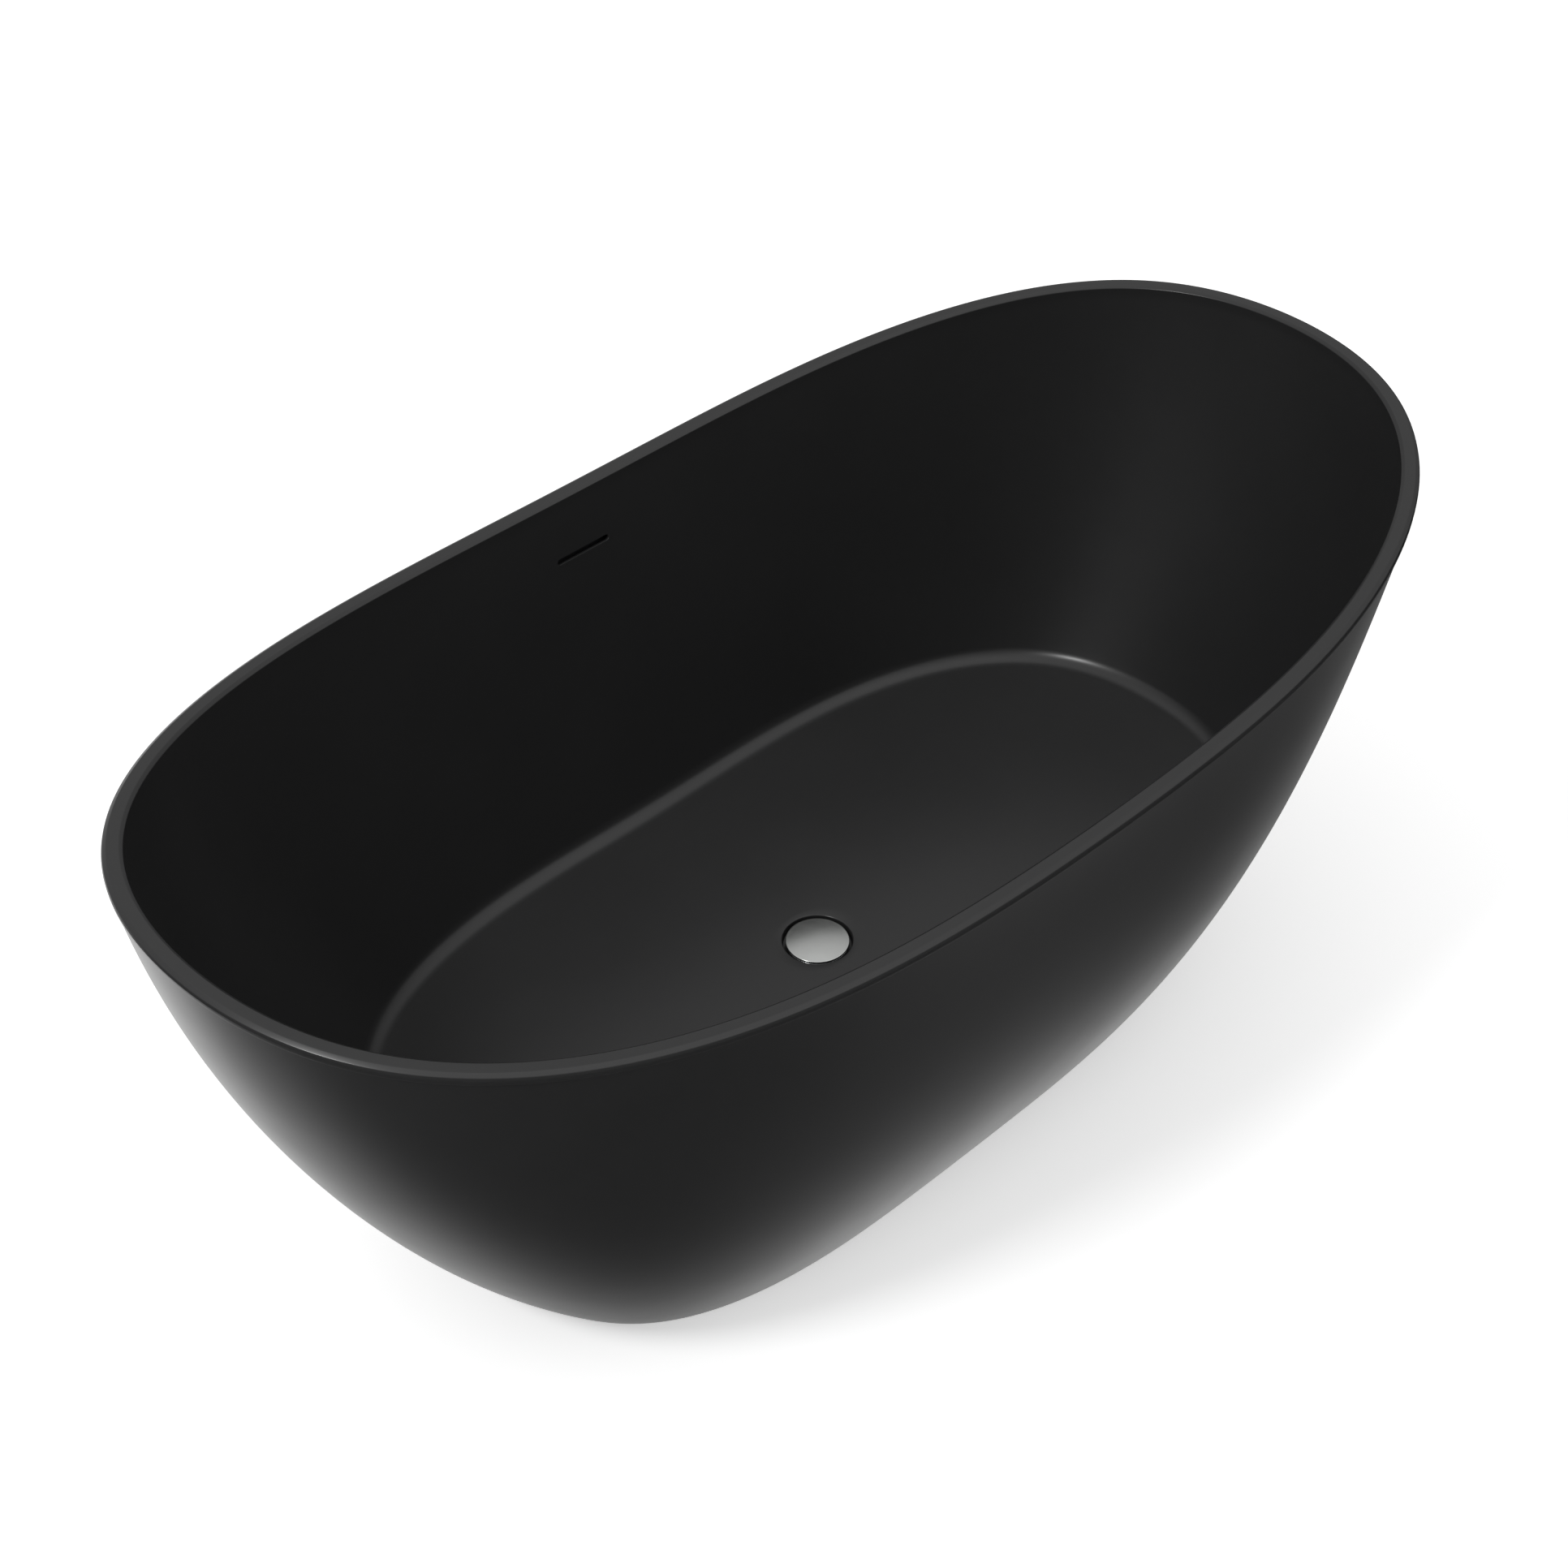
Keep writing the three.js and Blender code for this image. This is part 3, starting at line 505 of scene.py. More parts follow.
M_PAD = finish("foot_rubber", (0.017, 0.017, 0.018), 0.78, vary=0.20, vary_scale=70.0, grain=0.15, grain_scale=700.0,
               rough_vary=0.08, rough_scale=140.0, bump=0.4, bump_scale=900.0, bump_mm=0.06, spec=0.4)
M_SEAL = finish("seal_rubber", (0.012, 0.012, 0.012), 0.66, vary=0.20, vary_scale=90.0, grain=0.12, grain_scale=900.0,
                rough_vary=0.08, rough_scale=160.0, bump=0.3, bump_scale=1100.0, bump_mm=0.03, spec=0.45)
M_PIPE = finish("grey_polypropylene", (0.46, 0.465, 0.46), 0.50, vary=0.06, vary_scale=30.0, grain=0.05, grain_scale=500.0,
                rough_vary=0.07, rough_scale=60.0, bump=0.3, bump_scale=650.0, bump_mm=0.05)
M_MOULD = finish("black_abs_moulding", (0.020, 0.020, 0.021), 0.50, vary=0.15, vary_scale=40.0, grain=0.12, grain_scale=900.0,
                 rough_vary=0.06, rough_scale=80.0, bump=0.4, bump_scale=1300.0, bump_mm=0.04)
M_HOSE = finish("ribbed_hose_pvc", (0.19, 0.195, 0.205), 0.55, vary=0.10, vary_scale=50.0, grain=0.10, grain_scale=600.0,
                rough_vary=0.08, rough_scale=90.0, bump=0.3, bump_scale=900.0, bump_mm=0.05)

# ------------------------------------------------------------------ basin
NT = 320
TAU = np.arange(NT) * 2 * PI / NT
INNER = Inner(TAU)
RIM_XY, RIM_N, RIM_ZT = rim_xy(TAU), outward(rim_xy, TAU), rim_z(TAU)


def circle(r, z, t=TAU):
    return np.stack([r * np.cos(t), r * np.sin(t), np.full(len(t), float(z))], -1)


def rim_ring(dn, dz):
    return np.concatenate([RIM_XY + RIM_N * dn, (RIM_ZT + dz)[:, None]], 1)


def back_ring(q):
    e = 0.02
    p = INNER.at(q)
    a, b = INNER.at(max(0.0, q - e)), INNER.at(min(2.0, q + e))
    n = np.cross(b - a, np.roll(p, -1, 0) - np.roll(p, 1, 0))
    n /= np.linalg.norm(n, axis=1, keepdims=True)
    if q == 0:
        n = np.stack([-np.sin(INNER.a0) * INNER.n[:, 0], -np.sin(INNER.a0) * INNER.n[:, 1], np.cos(INNER.a0)], -1)
    if q == 2:
        n[:, 2] = 0
        n /= np.linalg.norm(n, axis=1, keepdims=True)
    inward = (n[:, 2] > 1e-6) | ((np.abs(n[:, 2]) <= 1e-6) & ((n[:, :2] * INNER.n).sum(1) < 0))
    n[~inward] *= -1
    return p - n * SHELL


# the rim's section: a nearly flat crown between two soft bevels
RIM_LINE = soften([(-19.7, -5.2), (-19.4, -3.0), (-16.0, -0.35), (-5.0, 0.0), (-0.9, -2.4), (0.0, -5.2), (-0.3, -9.3)], 1.7, 5, False)[1:]


def basin_mesh():
    rings = [circle(26, 152.3), circle(26, 156.4)]
    rings += [circle(r, z) for r, z in arc(26.6, 156.4, 0.6, PI, PI / 2, 2)[1:]]
    rings += [circle(31, SEAT_Z), circle(36.6, SEAT_Z)]
    rings += [circle(r, z) for r, z in arc(36.6, 158.4, 1.4, -PI / 2, 0, 4)[1:]]
    rings += [circle(38, 161)]
    rings += [circle(r, z) for r, z in arc(39.4, FLOOR_Z - 1.4, 1.4, PI, PI / 2, 5)]
    edge = INNER.f
    c0 = circle(39.4, 0)[:, :2]
    for s in np.concatenate([np.linspace(0, 0.3, 12)[1:], np.linspace(0.3, 1.0, 26)[1:-1]]):
        xy = c0 + (edge - c0) * s
        z = floor_z(xy[:, 0])
        rings.append(np.concatenate([xy, z[:, None]], 1))
    rings += [INNER.at(q) for q in np.linspace(0, 1, 15)]
    rings += [INNER.at(1 + s) for s in np.linspace(0, 1, 44)[1:]]
    rings += [rim_ring(dn, dz) for dn, dz in RIM_LINE]
    rings += [rim_ring(dn, dz) for dn, dz in arc(-1.0, -9.3, 0.7, 0, -PI / 2, 3)[1:]]
    rings += [rim_ring(-2.6, -LIP), rim_ring(-4.2, -LIP), rim_ring(-4.2, -6), rim_ring(-6, -4.2), rim_ring(-13.7, -4.2)]
    rings += [back_ring(q) for q in (2, 1.85, 1.7, 1.5, 1.3, 1.15, 1.0, 0.75, 0.5, 0.25, 0)]
    for s in (0.75, 0.5, 0.25):
        c1 = circle(50, 0)[:, :2]
        xy = c1 + (edge - c1) * s
        rings.append(np.concatenate([xy, (floor_z(xy[:, 0]) - SHELL)[:, None]], 1))
    rings += [circle(50, FLOOR_Z - SHELL)] + [circle(r, z) for r, z in arc(50, FLOOR_Z - SHELL - 3, 3, PI / 2, PI, 4)[1:]]
    rings += [circle(47, 153.3)] + [circle(r, z) for r, z in arc(46, 153, 1.0, 0, -PI / 2, 3)[1:]]
    rings += [circle(32, 152), circle(26.6, 152)]
    return skin(rings, True)


SLOT_Y, SLOT_ZZ, SLOT_TILT = 354.58, 499.1, math.radians(11.55)


def wall_frame():
    f = Inner(np.array([PI / 2 - 1e-4, PI / 2, PI / 2 + 1e-4]))
    s = (499.1 - f.foot[1, 2]) / (f.top[1, 2] - f.foot[1, 2])
    p = f.at(1 + s)[1]
    return p[1], p[2], math.atan2(f.top[1, 1] - f.foot[1, 1], f.top[1, 2] - f.foot[1, 2])


SLOT_Y, SLOT_ZZ, SLOT_TILT = wall_frame()
# x along the tub, y outwards square to the wall, z up the wall
WALL = Matrix.Translation(Vector((0, SLOT_Y, SLOT_ZZ))) @ Matrix.Rotation(-SLOT_TILT, 4, "X")


def slot_cutter():
    rings = []
    for d, grow in ((-14, 0.3), (-0.12, 0.3), (0.06, 0.13), (0.3, 0.0), (9, 0.0)):
        ring = []
        r = 3.2 + grow
        h = 71.4 / 2 - 3.2
        for cx, a0 in ((h, -90), (-h, 90)):
            for k in range(17):
                a = math.radians(a0 + 180 * k / 16)
                ring.append((cx + r * math.cos(a), d, r * math.sin(a)))
        rings.append(np.array(ring))
    a = np.array([[0, -14, 0.0]])
    b = np.array([[0, 9, 0.0]])
    return turn(skin([a] + rings + [b]), WALL)


def set_two_materials(me, mats, pick):
    me.materials.clear()
    for m in mats:
        me.materials.append(m)
    n = len(me.polygons)
    cen = np.zeros(n * 3)
    nor = np.zeros(n * 3)
    me.polygons.foreach_get("center", cen)
    me.polygons.foreach_get("normal", nor)
    me.polygons.foreach_set("material_index", pick(cen.reshape(-1, 3), nor.reshape(-1, 3)).astype(np.int32))


me = csg(basin_mesh(), ("DIFFERENCE", slot_cutter()))
basin = place("basin_shell", me, "tub", M_SHELL, ("basin",), 34)


# ------------------------------------------------------------------ outer skirt
def skirt_mesh():
    top = RIM_ZT - LIP - 0.4

    def outer(z, inset):
        e = 1.0
        xy, x1, x0 = skirt_xy(TAU, z), skirt_xy(TAU, z + e), skirt_xy(TAU, z - e)
        nx = np.roll(xy, -1, 0) - np.roll(xy, 1, 0)
        nx /= np.linalg.norm(nx, axis=1, keepdims=True)
        n = np.stack([nx[:, 1], -nx[:, 0]], -1)
        slope = ((x1 - x0) * n).sum(1) / (2 * e)
        k = np.hypot(1, slope)
        return np.concatenate([xy - n * (inset * k)[:, None], z[:, None]], 1)

    rings = []
    for u in np.linspace(1, 0, 64)[:-1]:
        rings.append(outer(4.8 + (top - 4.8) * u, 0.0))
    for ins, dz in arc(0.8, 4.8, 0.8, PI, 3 * PI / 2, 3):
        rings.append(outer(np.full(NT, dz), ins))
    rings += [outer(np.full(NT, 4.0), 7.0), outer(np.full(NT, 4.0), 13.4)]
    rings += [outer(np.full(NT, 4.4), 13.8), outer(np.full(NT, 7.6), 13.8), outer(np.full(NT, 8.0), 13.4)]
    rings += [outer(np.full(NT, 8.0), 5.2), outer(np.full(NT, 8.6), 4.1)]
    for u in np.linspace(0, 1, 26)[1:]:
        rings.append(outer(8.6 + (top - 8.6) * u, 3.8))
    return skin(rings, True)


v, f = skirt_mesh()
skirt = make("skirt_shell", v, f, "tub", M_SHELL, ("outer_skirt",), 34)

# ------------------------------------------------------------------ waste cap, seal, stem and cartridge
cap_under = 163.0
cap_profile = [(0, cap_under), (30.5, cap_under), (31.2, cap_under + 0.35), (33.8, cap_under + 0.35)]
cap_profile += arc(33.75, cap_under + 1.2, 0.85, -PI / 2, PI / 2, 8)[1:]
for r in np.linspace(33.4, 0, 30)[1:]:
    cap_profile.append((float(r), cap_under + 2.0 + 2.1 * (1 - (r / 33.7) ** 2)))
v, f = lathe(cap_profile, 128, False, soft=0)
make("waste_cap_disc", v, f, "waste_plug", M_CHROME, ("waste_cap",), 40)


def ring_part(name, profile, body, mat, node, seg=72, soft=0.35, x=0.0, y=0.0, shape=None, angle=40):
    v, f = lathe(profile, seg, True, x, y, shape, soft)
    return make(name, v, f, body, mat, (node,), angle)


v, f = lathe([(24.5, 161.4), (30, 161.4), (30, 162.7), (24.5, 162.7)], 96, True, soft=0.5, n=5)
make("waste_cap_lip_seal", v, f, "waste_plug", M_SEAL, ("waste_cap_seal",), 40)
stem = [(0, 119), (2.6, 119), (3, 119.4), (3, 127.6), (3.4, 128), (5.6, 128), (5.6, 131), (3.4, 131), (3, 131.4), (3, 137), (2.7, 137.3), (2.7, 138.2),
        (3, 138.5), (3, 159.5), (7, 159.5), (7, 162.7), (0, 162.7)]
v, f = lathe(stem, 48, False, soft=0.15, n=2)
make("waste_cap_spindle", v, f, "waste_plug", M_BRASS, ("waste_cap_stem",), 35)


# ------------------------------------------------------------------ waste body, nuts, tee, tailpiece
ring_part("waste_foam_washer", [(24.5, 157.3), (33, 157.3), (33, 158.8), (24.5, 158.8)], "tub", M_SEAL, "waste_washer_top", 96, 0.5)
tube = lathe([(21, 96), (24, 96), (24, 159.1), (33.6, 159.1), (33.6, 161.1), (23.4, 161.1), (21, 158.6)], 96, True, soft=0.4)
hub = lathe([(8.5, 145), (12, 145), (12, 152), (8.5, 152)], 60, True, soft=0.4)
arms = []
for k in range(3):
    arms.append(("UNION", turn(rounded_box(10.5, 22.5, -2.5, 2.5, 146, 151.5, 0.9), Matrix.Rotation(k * 2 * PI / 3, 4, "Z"))))
me = csg(tube, ("UNION", hub), *arms)
place("waste_strainer_body", me, "tub", M_BODY_CHROME, ("waste_body",), 38)
ring_part("waste_rubber_washer", [(24.4, 149.7), (37, 149.7), (37, 151.7), (24.4, 151.7)], "tub", M_SEAL, "waste_washer_bottom", 96, 0.6)


def hexagon(across, chamfer_r, z0, z1, chamfer=1.2, r_corner=0.8):
    """star shape of a chamfered hexagon; chamfer_r = radius where the end chamfer starts"""
    def shape(th, r, z):
        a = (th + PI / 6) % (PI / 3) - PI / 6
        h = (across / 2) / np.cos(a)
        h = np.minimum(h, across / math.sqrt(3) - r_corner * 0.6)
        d = min(z - z0, z1 - z)
        cone = chamfer_r + max(d, 0.0) * 1.732
        return np.minimum(np.where(r > across * 0.45, h, r), np.maximum(cone, r if r < across * 0.45 else 0))
    return shape


def hex_nut(across, bore, z0, z1, seg=96, washer=None, pitch=0.0, x=0.0, y=0.0):
    sh = hexagon(across, across / 2 - 0.4, z0, z1)
    R = across / 2
    zs = [z0, z0 + 0.35, z0 + 0.7, z0 + 1.05, z0 + 1.5, z0 + 2.0]
    zs += [z0 + (z1 - z0) / 2] + [2 * ((z0 + z1) / 2) - k for k in zs[::-1]]
    outer_p = [(R, k) for k in zs]
    rings = rings_of([(bore + 0.8, z0)], seg, x, y)
    rings += rings_of(outer_p, seg, x, y, sh)
    rings += rings_of([(bore + 0.8, z1)], seg, x, y)
    n = max(6, int((z1 - z0) / (pitch / 6))) if pitch else 3
    th = np.arange(seg) * 2 * PI / seg
    for k in range(n + 1):
        z = z1 - 0.5 - (z1 - z0 - 1.0) * k / n
        if pitch:
            ph = (z / pitch - th / (2 * PI)) % 1.0
            rr = bore + 0.35 * (1 - np.abs(2 * ph - 1))
        else:
            rr = np.full(seg, bore)
        rings.append(np.stack([x + rr * np.cos(th), y + rr * np.sin(th), np.full(seg, z)], -1))
    return skin(rings, True)


nut = hex_nut(62, 24.5, 139, 149.4)
me = csg(nut, ("UNION", lathe([(24.5, 146.2), (38, 146.2), (38, 149.4), (24.5, 149.4)], 96, True, soft=0.6)))
place("waste_locknut", me, "tub", M_BRASS, ("waste_back_nut",), 38)

tee_outer = lathe([(0, 50), (24, 50), (24, 90), (28.5, 93), (28.5, 124), (0, 124)], 96, False, soft=0.8)
ring_marks = []
for k in range(24):
    a = k * PI / 12
    ring_marks.append(turn(rounded_box(28.0, 28.5, -1.1, 1.1, 97, 120, 0.2, 1), Matrix.Rotation(a, 4, "Z")))
LIE = Matrix.Translation(Vector((0, 0, 76))) @ Matrix.Rotation(-PI / 2, 4, "X")      # z axis turned to +y at z = 76
spigot = turn(lathe([(0, 10), (12, 10), (12, 50), (12.3, 52), (11.6, 52.1), (11.6, 56), (12.4, 58.4), (11.6, 58.5), (11.6, 62), (12.4, 64.4), (11.6, 64.5),
                     (11.6, 69), (12.6, 71.2), (12.6, 72.4), (11.4, 75.4), (10.8, 76), (0, 76)], 72, False, soft=0.12, n=2), LIE)
bore = lathe([(0, 45), (20.4, 45), (20.4, 95.6), (24.5, 97), (24.5, 130), (0, 130)], 96, False, soft=0.5)
me = csg(tee_outer, ("UNION", spigot), ("DIFFERENCE", bore), ("DIFFERENCE", turn(lathe([(0, 0), (9.6, 0), (9.6, 90), (0, 90)], 60, False, soft=0), LIE)))
place("waste_tee_moulding", me, "tub", M_PIPE, ("waste_tee",), 38)

th96 = np.arange(96) * 2 * PI / 96


def wing_shape(th, r, z):
    return r - 0.9 * (np.cos(12 * th) > 0.2) * (r > 28)


cn = hex_nut(58, 20.5, 44, 60)
me = csg(lathe([(20.5, 44), (29, 44), (29, 60), (24.5, 60), (24.5, 47.1), (20.5, 47.1)], 96, True, soft=0.5, shape=wing_shape),
         ("UNION", lathe([(20.5, 44), (29.5, 44), (29.5, 48), (24.5, 48), (24.5, 47.1), (20.5, 47.1)], 96, True, soft=0.4)))
place("waste_union_nut", me, "tub", M_PIPE, ("waste_coupling_nut",), 38)
ring_part("waste_tail_pipe", [(17.6, 9), (20, 9), (20, 47.4), (23.6, 47.4), (23.6, 49.6), (17.6, 49.6)], "tub", M_PIPE, "waste_tailpiece", 96, 0.4)
ring_part("click_cartridge_body", [(0.01, 111), (7, 111), (8.2, 112.5), (8.2, 152.6), (6.2, 152.6), (6.2, 115), (0.01, 115)], "tub", M_BRASS,
          "cartridge_body", 60, 0.3)
ring_part("click_cartridge_guide", [(3.5, 143), (5.9, 143), (5.9, 150), (3.5, 150)], "tub", M_BRASS, "cartridge_guide", 48, 0.25)


# ------------------------------------------------------------------ base board
def board_mesh():
    n = 240
    t = np.arange(n) * 2 * PI / n
    edge = floor_xy(t) * np.array([0.88, 0.86])
    edge[:, 0] *= 0.998
    edge[:, 1] *= 0.998
    nn = np.roll(edge, -1, 0) - np.roll(edge, 1, 0)
    nn /= np.linalg.norm(nn, axis=1, keepdims=True)
    nn = np.stack([nn[:, 1], -nn[:, 0]], -1)
    z0, z1 = 146.2, 161.2
    hole = np.stack([58 * np.cos(t), 58 * np.sin(t)], -1)
    rings = []

    def lay(xy, z):
        rings.append(np.concatenate([xy, np.full((n, 1), z)], 1))
    lay(hole, z0 + 0.6)
    lay(hole, z1 - 0.6)
    lay(hole * (58.6 / 58), z1)
    for s in (0.25, 0.5, 0.75):
        lay(hole + (edge - hole) * s, z1)
    lay(edge - nn * 1.0, z1)
    lay(edge - nn * 0.2, z1 - 0.25)
    lay(edge, z1 - 1.0)
    lay(edge, z0 + 1.0)
    lay(edge - nn * 0.2, z0 + 0.25)
    lay(edge - nn * 1.0, z0)
    for s in (0.75, 0.5, 0.25):
        lay(hole + (edge - hole) * s, z0)
    lay(hole * (58.6 / 58), z0)
    return skin(rings, True)


v, f = board_mesh()
make("chipboard_base", v, f, "tub", M_BOARD, ("base_board",), 40)


# ------------------------------------------------------------------ welded frame of square tube
def square(half, r, n=5):
    pts = []
    for sx, sy, a0 in ((1, 1, 0), (-1, 1, 90), (-1, -1, 180), (1, -1, 270)):
        for k in range(n + 1):
            a = math.radians(a0 + 90 * k / n)
            pts.append((sx * (half - r) + r * math.cos(a), sy * (half - r) + r * math.sin(a)))
    return np.array(pts)


def square_tube(length, seam=True):
    """along x, centred on the origin"""
    o, i = square(12.5, 2.6), square(10.5, 1.0)
    h = length / 2
    rings = []
    for x, k, grow in ((-h, o, 0.975), (-h + 0.3, o, 1.0)):
        rings.append(np.concatenate([np.full((len(k), 1), x), k * grow], 1))
    for x in np.linspace(-h, h, max(4, int(length / 60)))[1:-1]:
        rings.append(np.concatenate([np.full((len(o), 1), x), o], 1))
    for x, k, grow in ((h - 0.3, o, 1.0), (h, o, 0.975), (h, i, 1.02), (h - 0.3, i, 1.0), (-h + 0.3, i, 1.0), (-h, i, 1.02)):
        rings.append(np.concatenate([np.full((len(k), 1), x), k * grow], 1))
    return skin(rings, True)


RAIL_Z = 145.9 - 12.5
for node, sy in (("frame_rail_slot_side", 1), ("frame_rail_plain_side", -1)):
    base = turn(square_tube(780), Matrix.Translation(Vector((0, sy * 130, RAIL_Z))))
    holes = [("DIFFERENCE", lathe([(0, 117.9), (6.8, 117.9), (6.8, 125.9), (0, 125.9)], 40, False, x=sx * 330, y=sy * 130, soft=0)) for sx in (-1, 1)]
    me = csg(base, *holes)
    place(node.replace("frame_", "welded_"), me, "tub", M_STEEL, (node,), 35)


def weld_bead(cx, cy, rng):
    """lumpy fillet weld round the end of a cross tube, against the rail's face at y = cy"""
    s = -1 if cy > 0 else 1
    path = square(12.6, 2.6, 6)
    n = len(path)
    dense = []
    for i in range(n):
        a, b = path[i], path[(i + 1) % n]
        m = max(1, int(np.linalg.norm(b - a) / 1.3))
        for k in range(m):
            dense.append(a + (b - a) * k / m)
    dense = np.array(dense)
    c = dense / np.linalg.norm(dense, axis=1, keepdims=True)
    rings = []
    for i, p in enumerate(dense):
        if p[1] > 11.6:      # the top face stays flush under the board
            g = 0.10
        else:
            g = 1.5 + 0.35 * math.sin(i * 2.1) + 0.2 * rng.random()
        ring = []
        for k in range(8):
            a = 2 * PI * k / 8
            out, along = g * math.cos(a) * 0.8, g * math.sin(a)
            q = p + c[i] * (out * 0.9)
            q = np.array([q[0], min(q[1], 12.45)])
            ring.append((cx + q[0], cy + s * max(0.32, along + g * 0.75), RAIL_Z + q[1]))
        rings.append(np.array(ring))
    return skin(rings, True)


rng = np.random.default_rng(7)
for k, x in enumerate((-265, -110, 110, 265)):
    L = 2 * (130 - 12.5 - 0.3)
    v, f = turn(square_tube(L), Matrix.Translation(Vector((x, 0, RAIL_Z))) @ Matrix.Rotation(PI / 2, 4, "Z"))
    make(f"welded_cross_{k + 1}", v, f, "tub", M_STEEL, (f"frame_cross_{k + 1}",), 35)
    for side, sy in (("a", 1), ("b", -1)):
        v, f = weld_bead(x, sy * 117.5, rng)
        make(f"weld_bead_{k + 1}{side}", v, f, "tub", M_WELD, (), 50)

for k in range(4):
    me = softened_copy(f"skirt_tie_{k + 1}", 0.5, 3)
    place(f"skirt_bracket_{k + 1}", me, "tub", M_ZINC, (f"skirt_tie_{k + 1}",), 35)


# ------------------------------------------------------------------ levelling feet
def stud_mesh(x, y):
    seg, pitch = 36, 1.75
    th = np.arange(seg) * 2 * PI / seg
    rings = [np.array([[x, y, 8.0]])]

    def plain(r, z):
        rings.append(np.stack([x + r * np.cos(th), y + r * np.sin(th), np.full(seg, z)], -1))
    plain(3.4, 8.0)
    plain(3.9, 8.3)
    plain(4.0, 8.9)
    plain(4.0, 13.6)
    a = th % (PI / 3) - PI / 6
    hexr = np.minimum(8.5 / np.cos(a), 9.6)
    for z, cone in ((14.3, 8.0), (14.9, 9.0), (15.5, 99), (20.8, 99), (21.4, 9.0), (22.0, 8.0)):
        rr = np.minimum(hexr, cone)
        rings.append(np.stack([x + rr * np.cos(th), y + rr * np.sin(th), np.full(seg, z)], -1))
    plain(5.0, 22.0)
    plain(5.0, 23.0)
    z0, z1 = 23.6, 139.0
    n = int((z1 - z0) / (pitch / 6))
    for k in range(n + 1):
        z = z0 + (z1 - z0) * k / n
        ph = (z / pitch - th / (2 * PI)) % 1.0
        tri = 1 - np.abs(2 * ph - 1)
        fade = min(1.0, (z - z0) / 2.0, (z1 - z) / 1.2 + 0.15)
        rr = 5.05 + 0.95 * np.clip(1.35 * tri - 0.12, 0, 1) * max(fade, 0.0)
        rings.append(np.stack([x + rr * np.cos(th), y + rr * np.sin(th), np.full(seg, z)], -1))
    plain(4.7, 139.7)
    plain(4.2, 140.0)
    rings.append(np.array([[x, y, 140.0]]))
    return skin(rings)


def pad_shape(th, r, z):
    """shallow grip flutes round the edge of the pad"""
    return np.where((r > 25.4) & (z > 1.2), r - 0.45 * (0.5 + 0.5 * np.cos(30 * th)) ** 2, r)


UNDER = 120.9
for k, (sx, sy) in enumerate(((1, 1), (-1, 1), (-1, -1), (1, -1))):
    i, x, y = k + 1, sx * 330.0, sy * 130.0
    v, f = hex_nut(19, 6.35, UNDER - 10.3, UNDER - 0.3, 72, x=x, y=y)
    make(f"foot_{i}_welded_nut", v, f, "tub", M_WELD, (f"foot_{i}_weld_nut",), 32)
    v, f = hex_nut(19, 6.35, UNDER - 18.6, UNDER - 10.6, 72, x=x, y=y)
    make(f"foot_{i}_jam_nut", v, f, "tub", M_ZINC, (f"foot_{i}_lock_nut",), 32)
    v, f = stud_mesh(x, y)
    make(f"foot_{i}_threaded_stud", v, f, f"foot_{i}", M_ZINC, (f"foot_{i}_stud",), 32)
    prof = [(0.01, 0), (24.6, 0), (26.4, 0.5), (27, 2), (27, 5.6), (26.2, 6.4), (20, 8.7), (14, 11.0), (11.4, 12.2), (11, 13.0), (10.6, 13.9), (5.0, 13.9), (4.4, 13.4),
            (4.4, 7.6), (0.01, 7.6)]
    v, f = lathe(prof, 120, True, x, y, None, soft=0.4)
    v = np.array(v)
    rel = v[:, :2] - (x, y)
    r = np.linalg.norm(rel, axis=1)
    th = np.arctan2(rel[:, 1], rel[:, 0])
    rn = pad_shape(th, r, v[:, 2])
    v[:, :2] = (x, y) + rel * (rn / np.maximum(r, 1e-6))[:, None]
    make(f"foot_{i}_rubber_pad", v.tolist(), f, f"foot_{i}", M_PAD, (f"foot_{i}_pad",), 40)


# ------------------------------------------------------------------ overflow
me = softened_copy("overflow_gasket", 0.25, 2)
place("overflow_seal", me, "tub", M_SEAL, ("overflow_gasket",), 35)
me = softened_copy("overflow_box", 0.8, 3)
place("overflow_housing", me, "tub", M_MOULD, ("overflow_box",), 35)
me = softened_copy("overflow_duct", 0.35, 2, 40)
place("overflow_flat_duct", me, "tub", M_PIPE, ("overflow_duct",), 35)

END = Vector((0, 272, 138))
FALL = PI / 4
AX = Vector((0, -math.sin(FALL), -math.cos(FALL)))
AY = Vector((0, math.cos(FALL), -math.sin(FALL)))


def on_axis(s, w, h, power=None, n=64):
    """ring across the adaptor's axis: a circle, or a rectangle with softened corners"""
    ring = []
    for i in range(n):
        a = 2 * PI * i / n
        c, q = math.cos(a), math.sin(a)
        m = max(abs(c), abs(q)) if power else 1.0
        x, y = w / 2 * c / m, h / 2 * q / m
        ring.append(tuple(END + AX * s + AY * y + Vector((x, 0, 0))))
    return np.array(ring)


def blend_ring(a, b, t):
    t = t * t * (3 - 2 * t)
    return a + (b - a) * t


flat0, flat1, round1 = on_axis(-7, 65, 9.8, True), on_axis(3, 65, 9.8, True), on_axis(24, 30, 30)
rings = [on_axis(-7, 64.4, 9.2, True), on_axis(-6.6, 65, 9.8, True), flat1]
for t in np.linspace(0, 1, 10)[1:-1]:
    rings.append(flat1 + (round1 - flat1) * t)
rings += [round1, on_axis(25, 24.2, 24.2), on_axis(25.6, 24, 24)]
for s0 in (30, 35, 40):
    rings += [on_axis(s0, 23.4, 23.4), on_axis(s0 + 2.6, 24.0, 24.0), on_axis(s0 + 2.8, 23.4, 23.4)]
rings += [on_axis(47.4, 23.8, 23.8), on_axis(48, 23.0, 23.0), on_axis(48, 20.4, 20.4), on_axis(47.6, 20, 20), on_axis(22, 20, 20)]
inner0, inner1 = on_axis(22, 20, 20), on_axis(1.2, 56, 3.6, True)
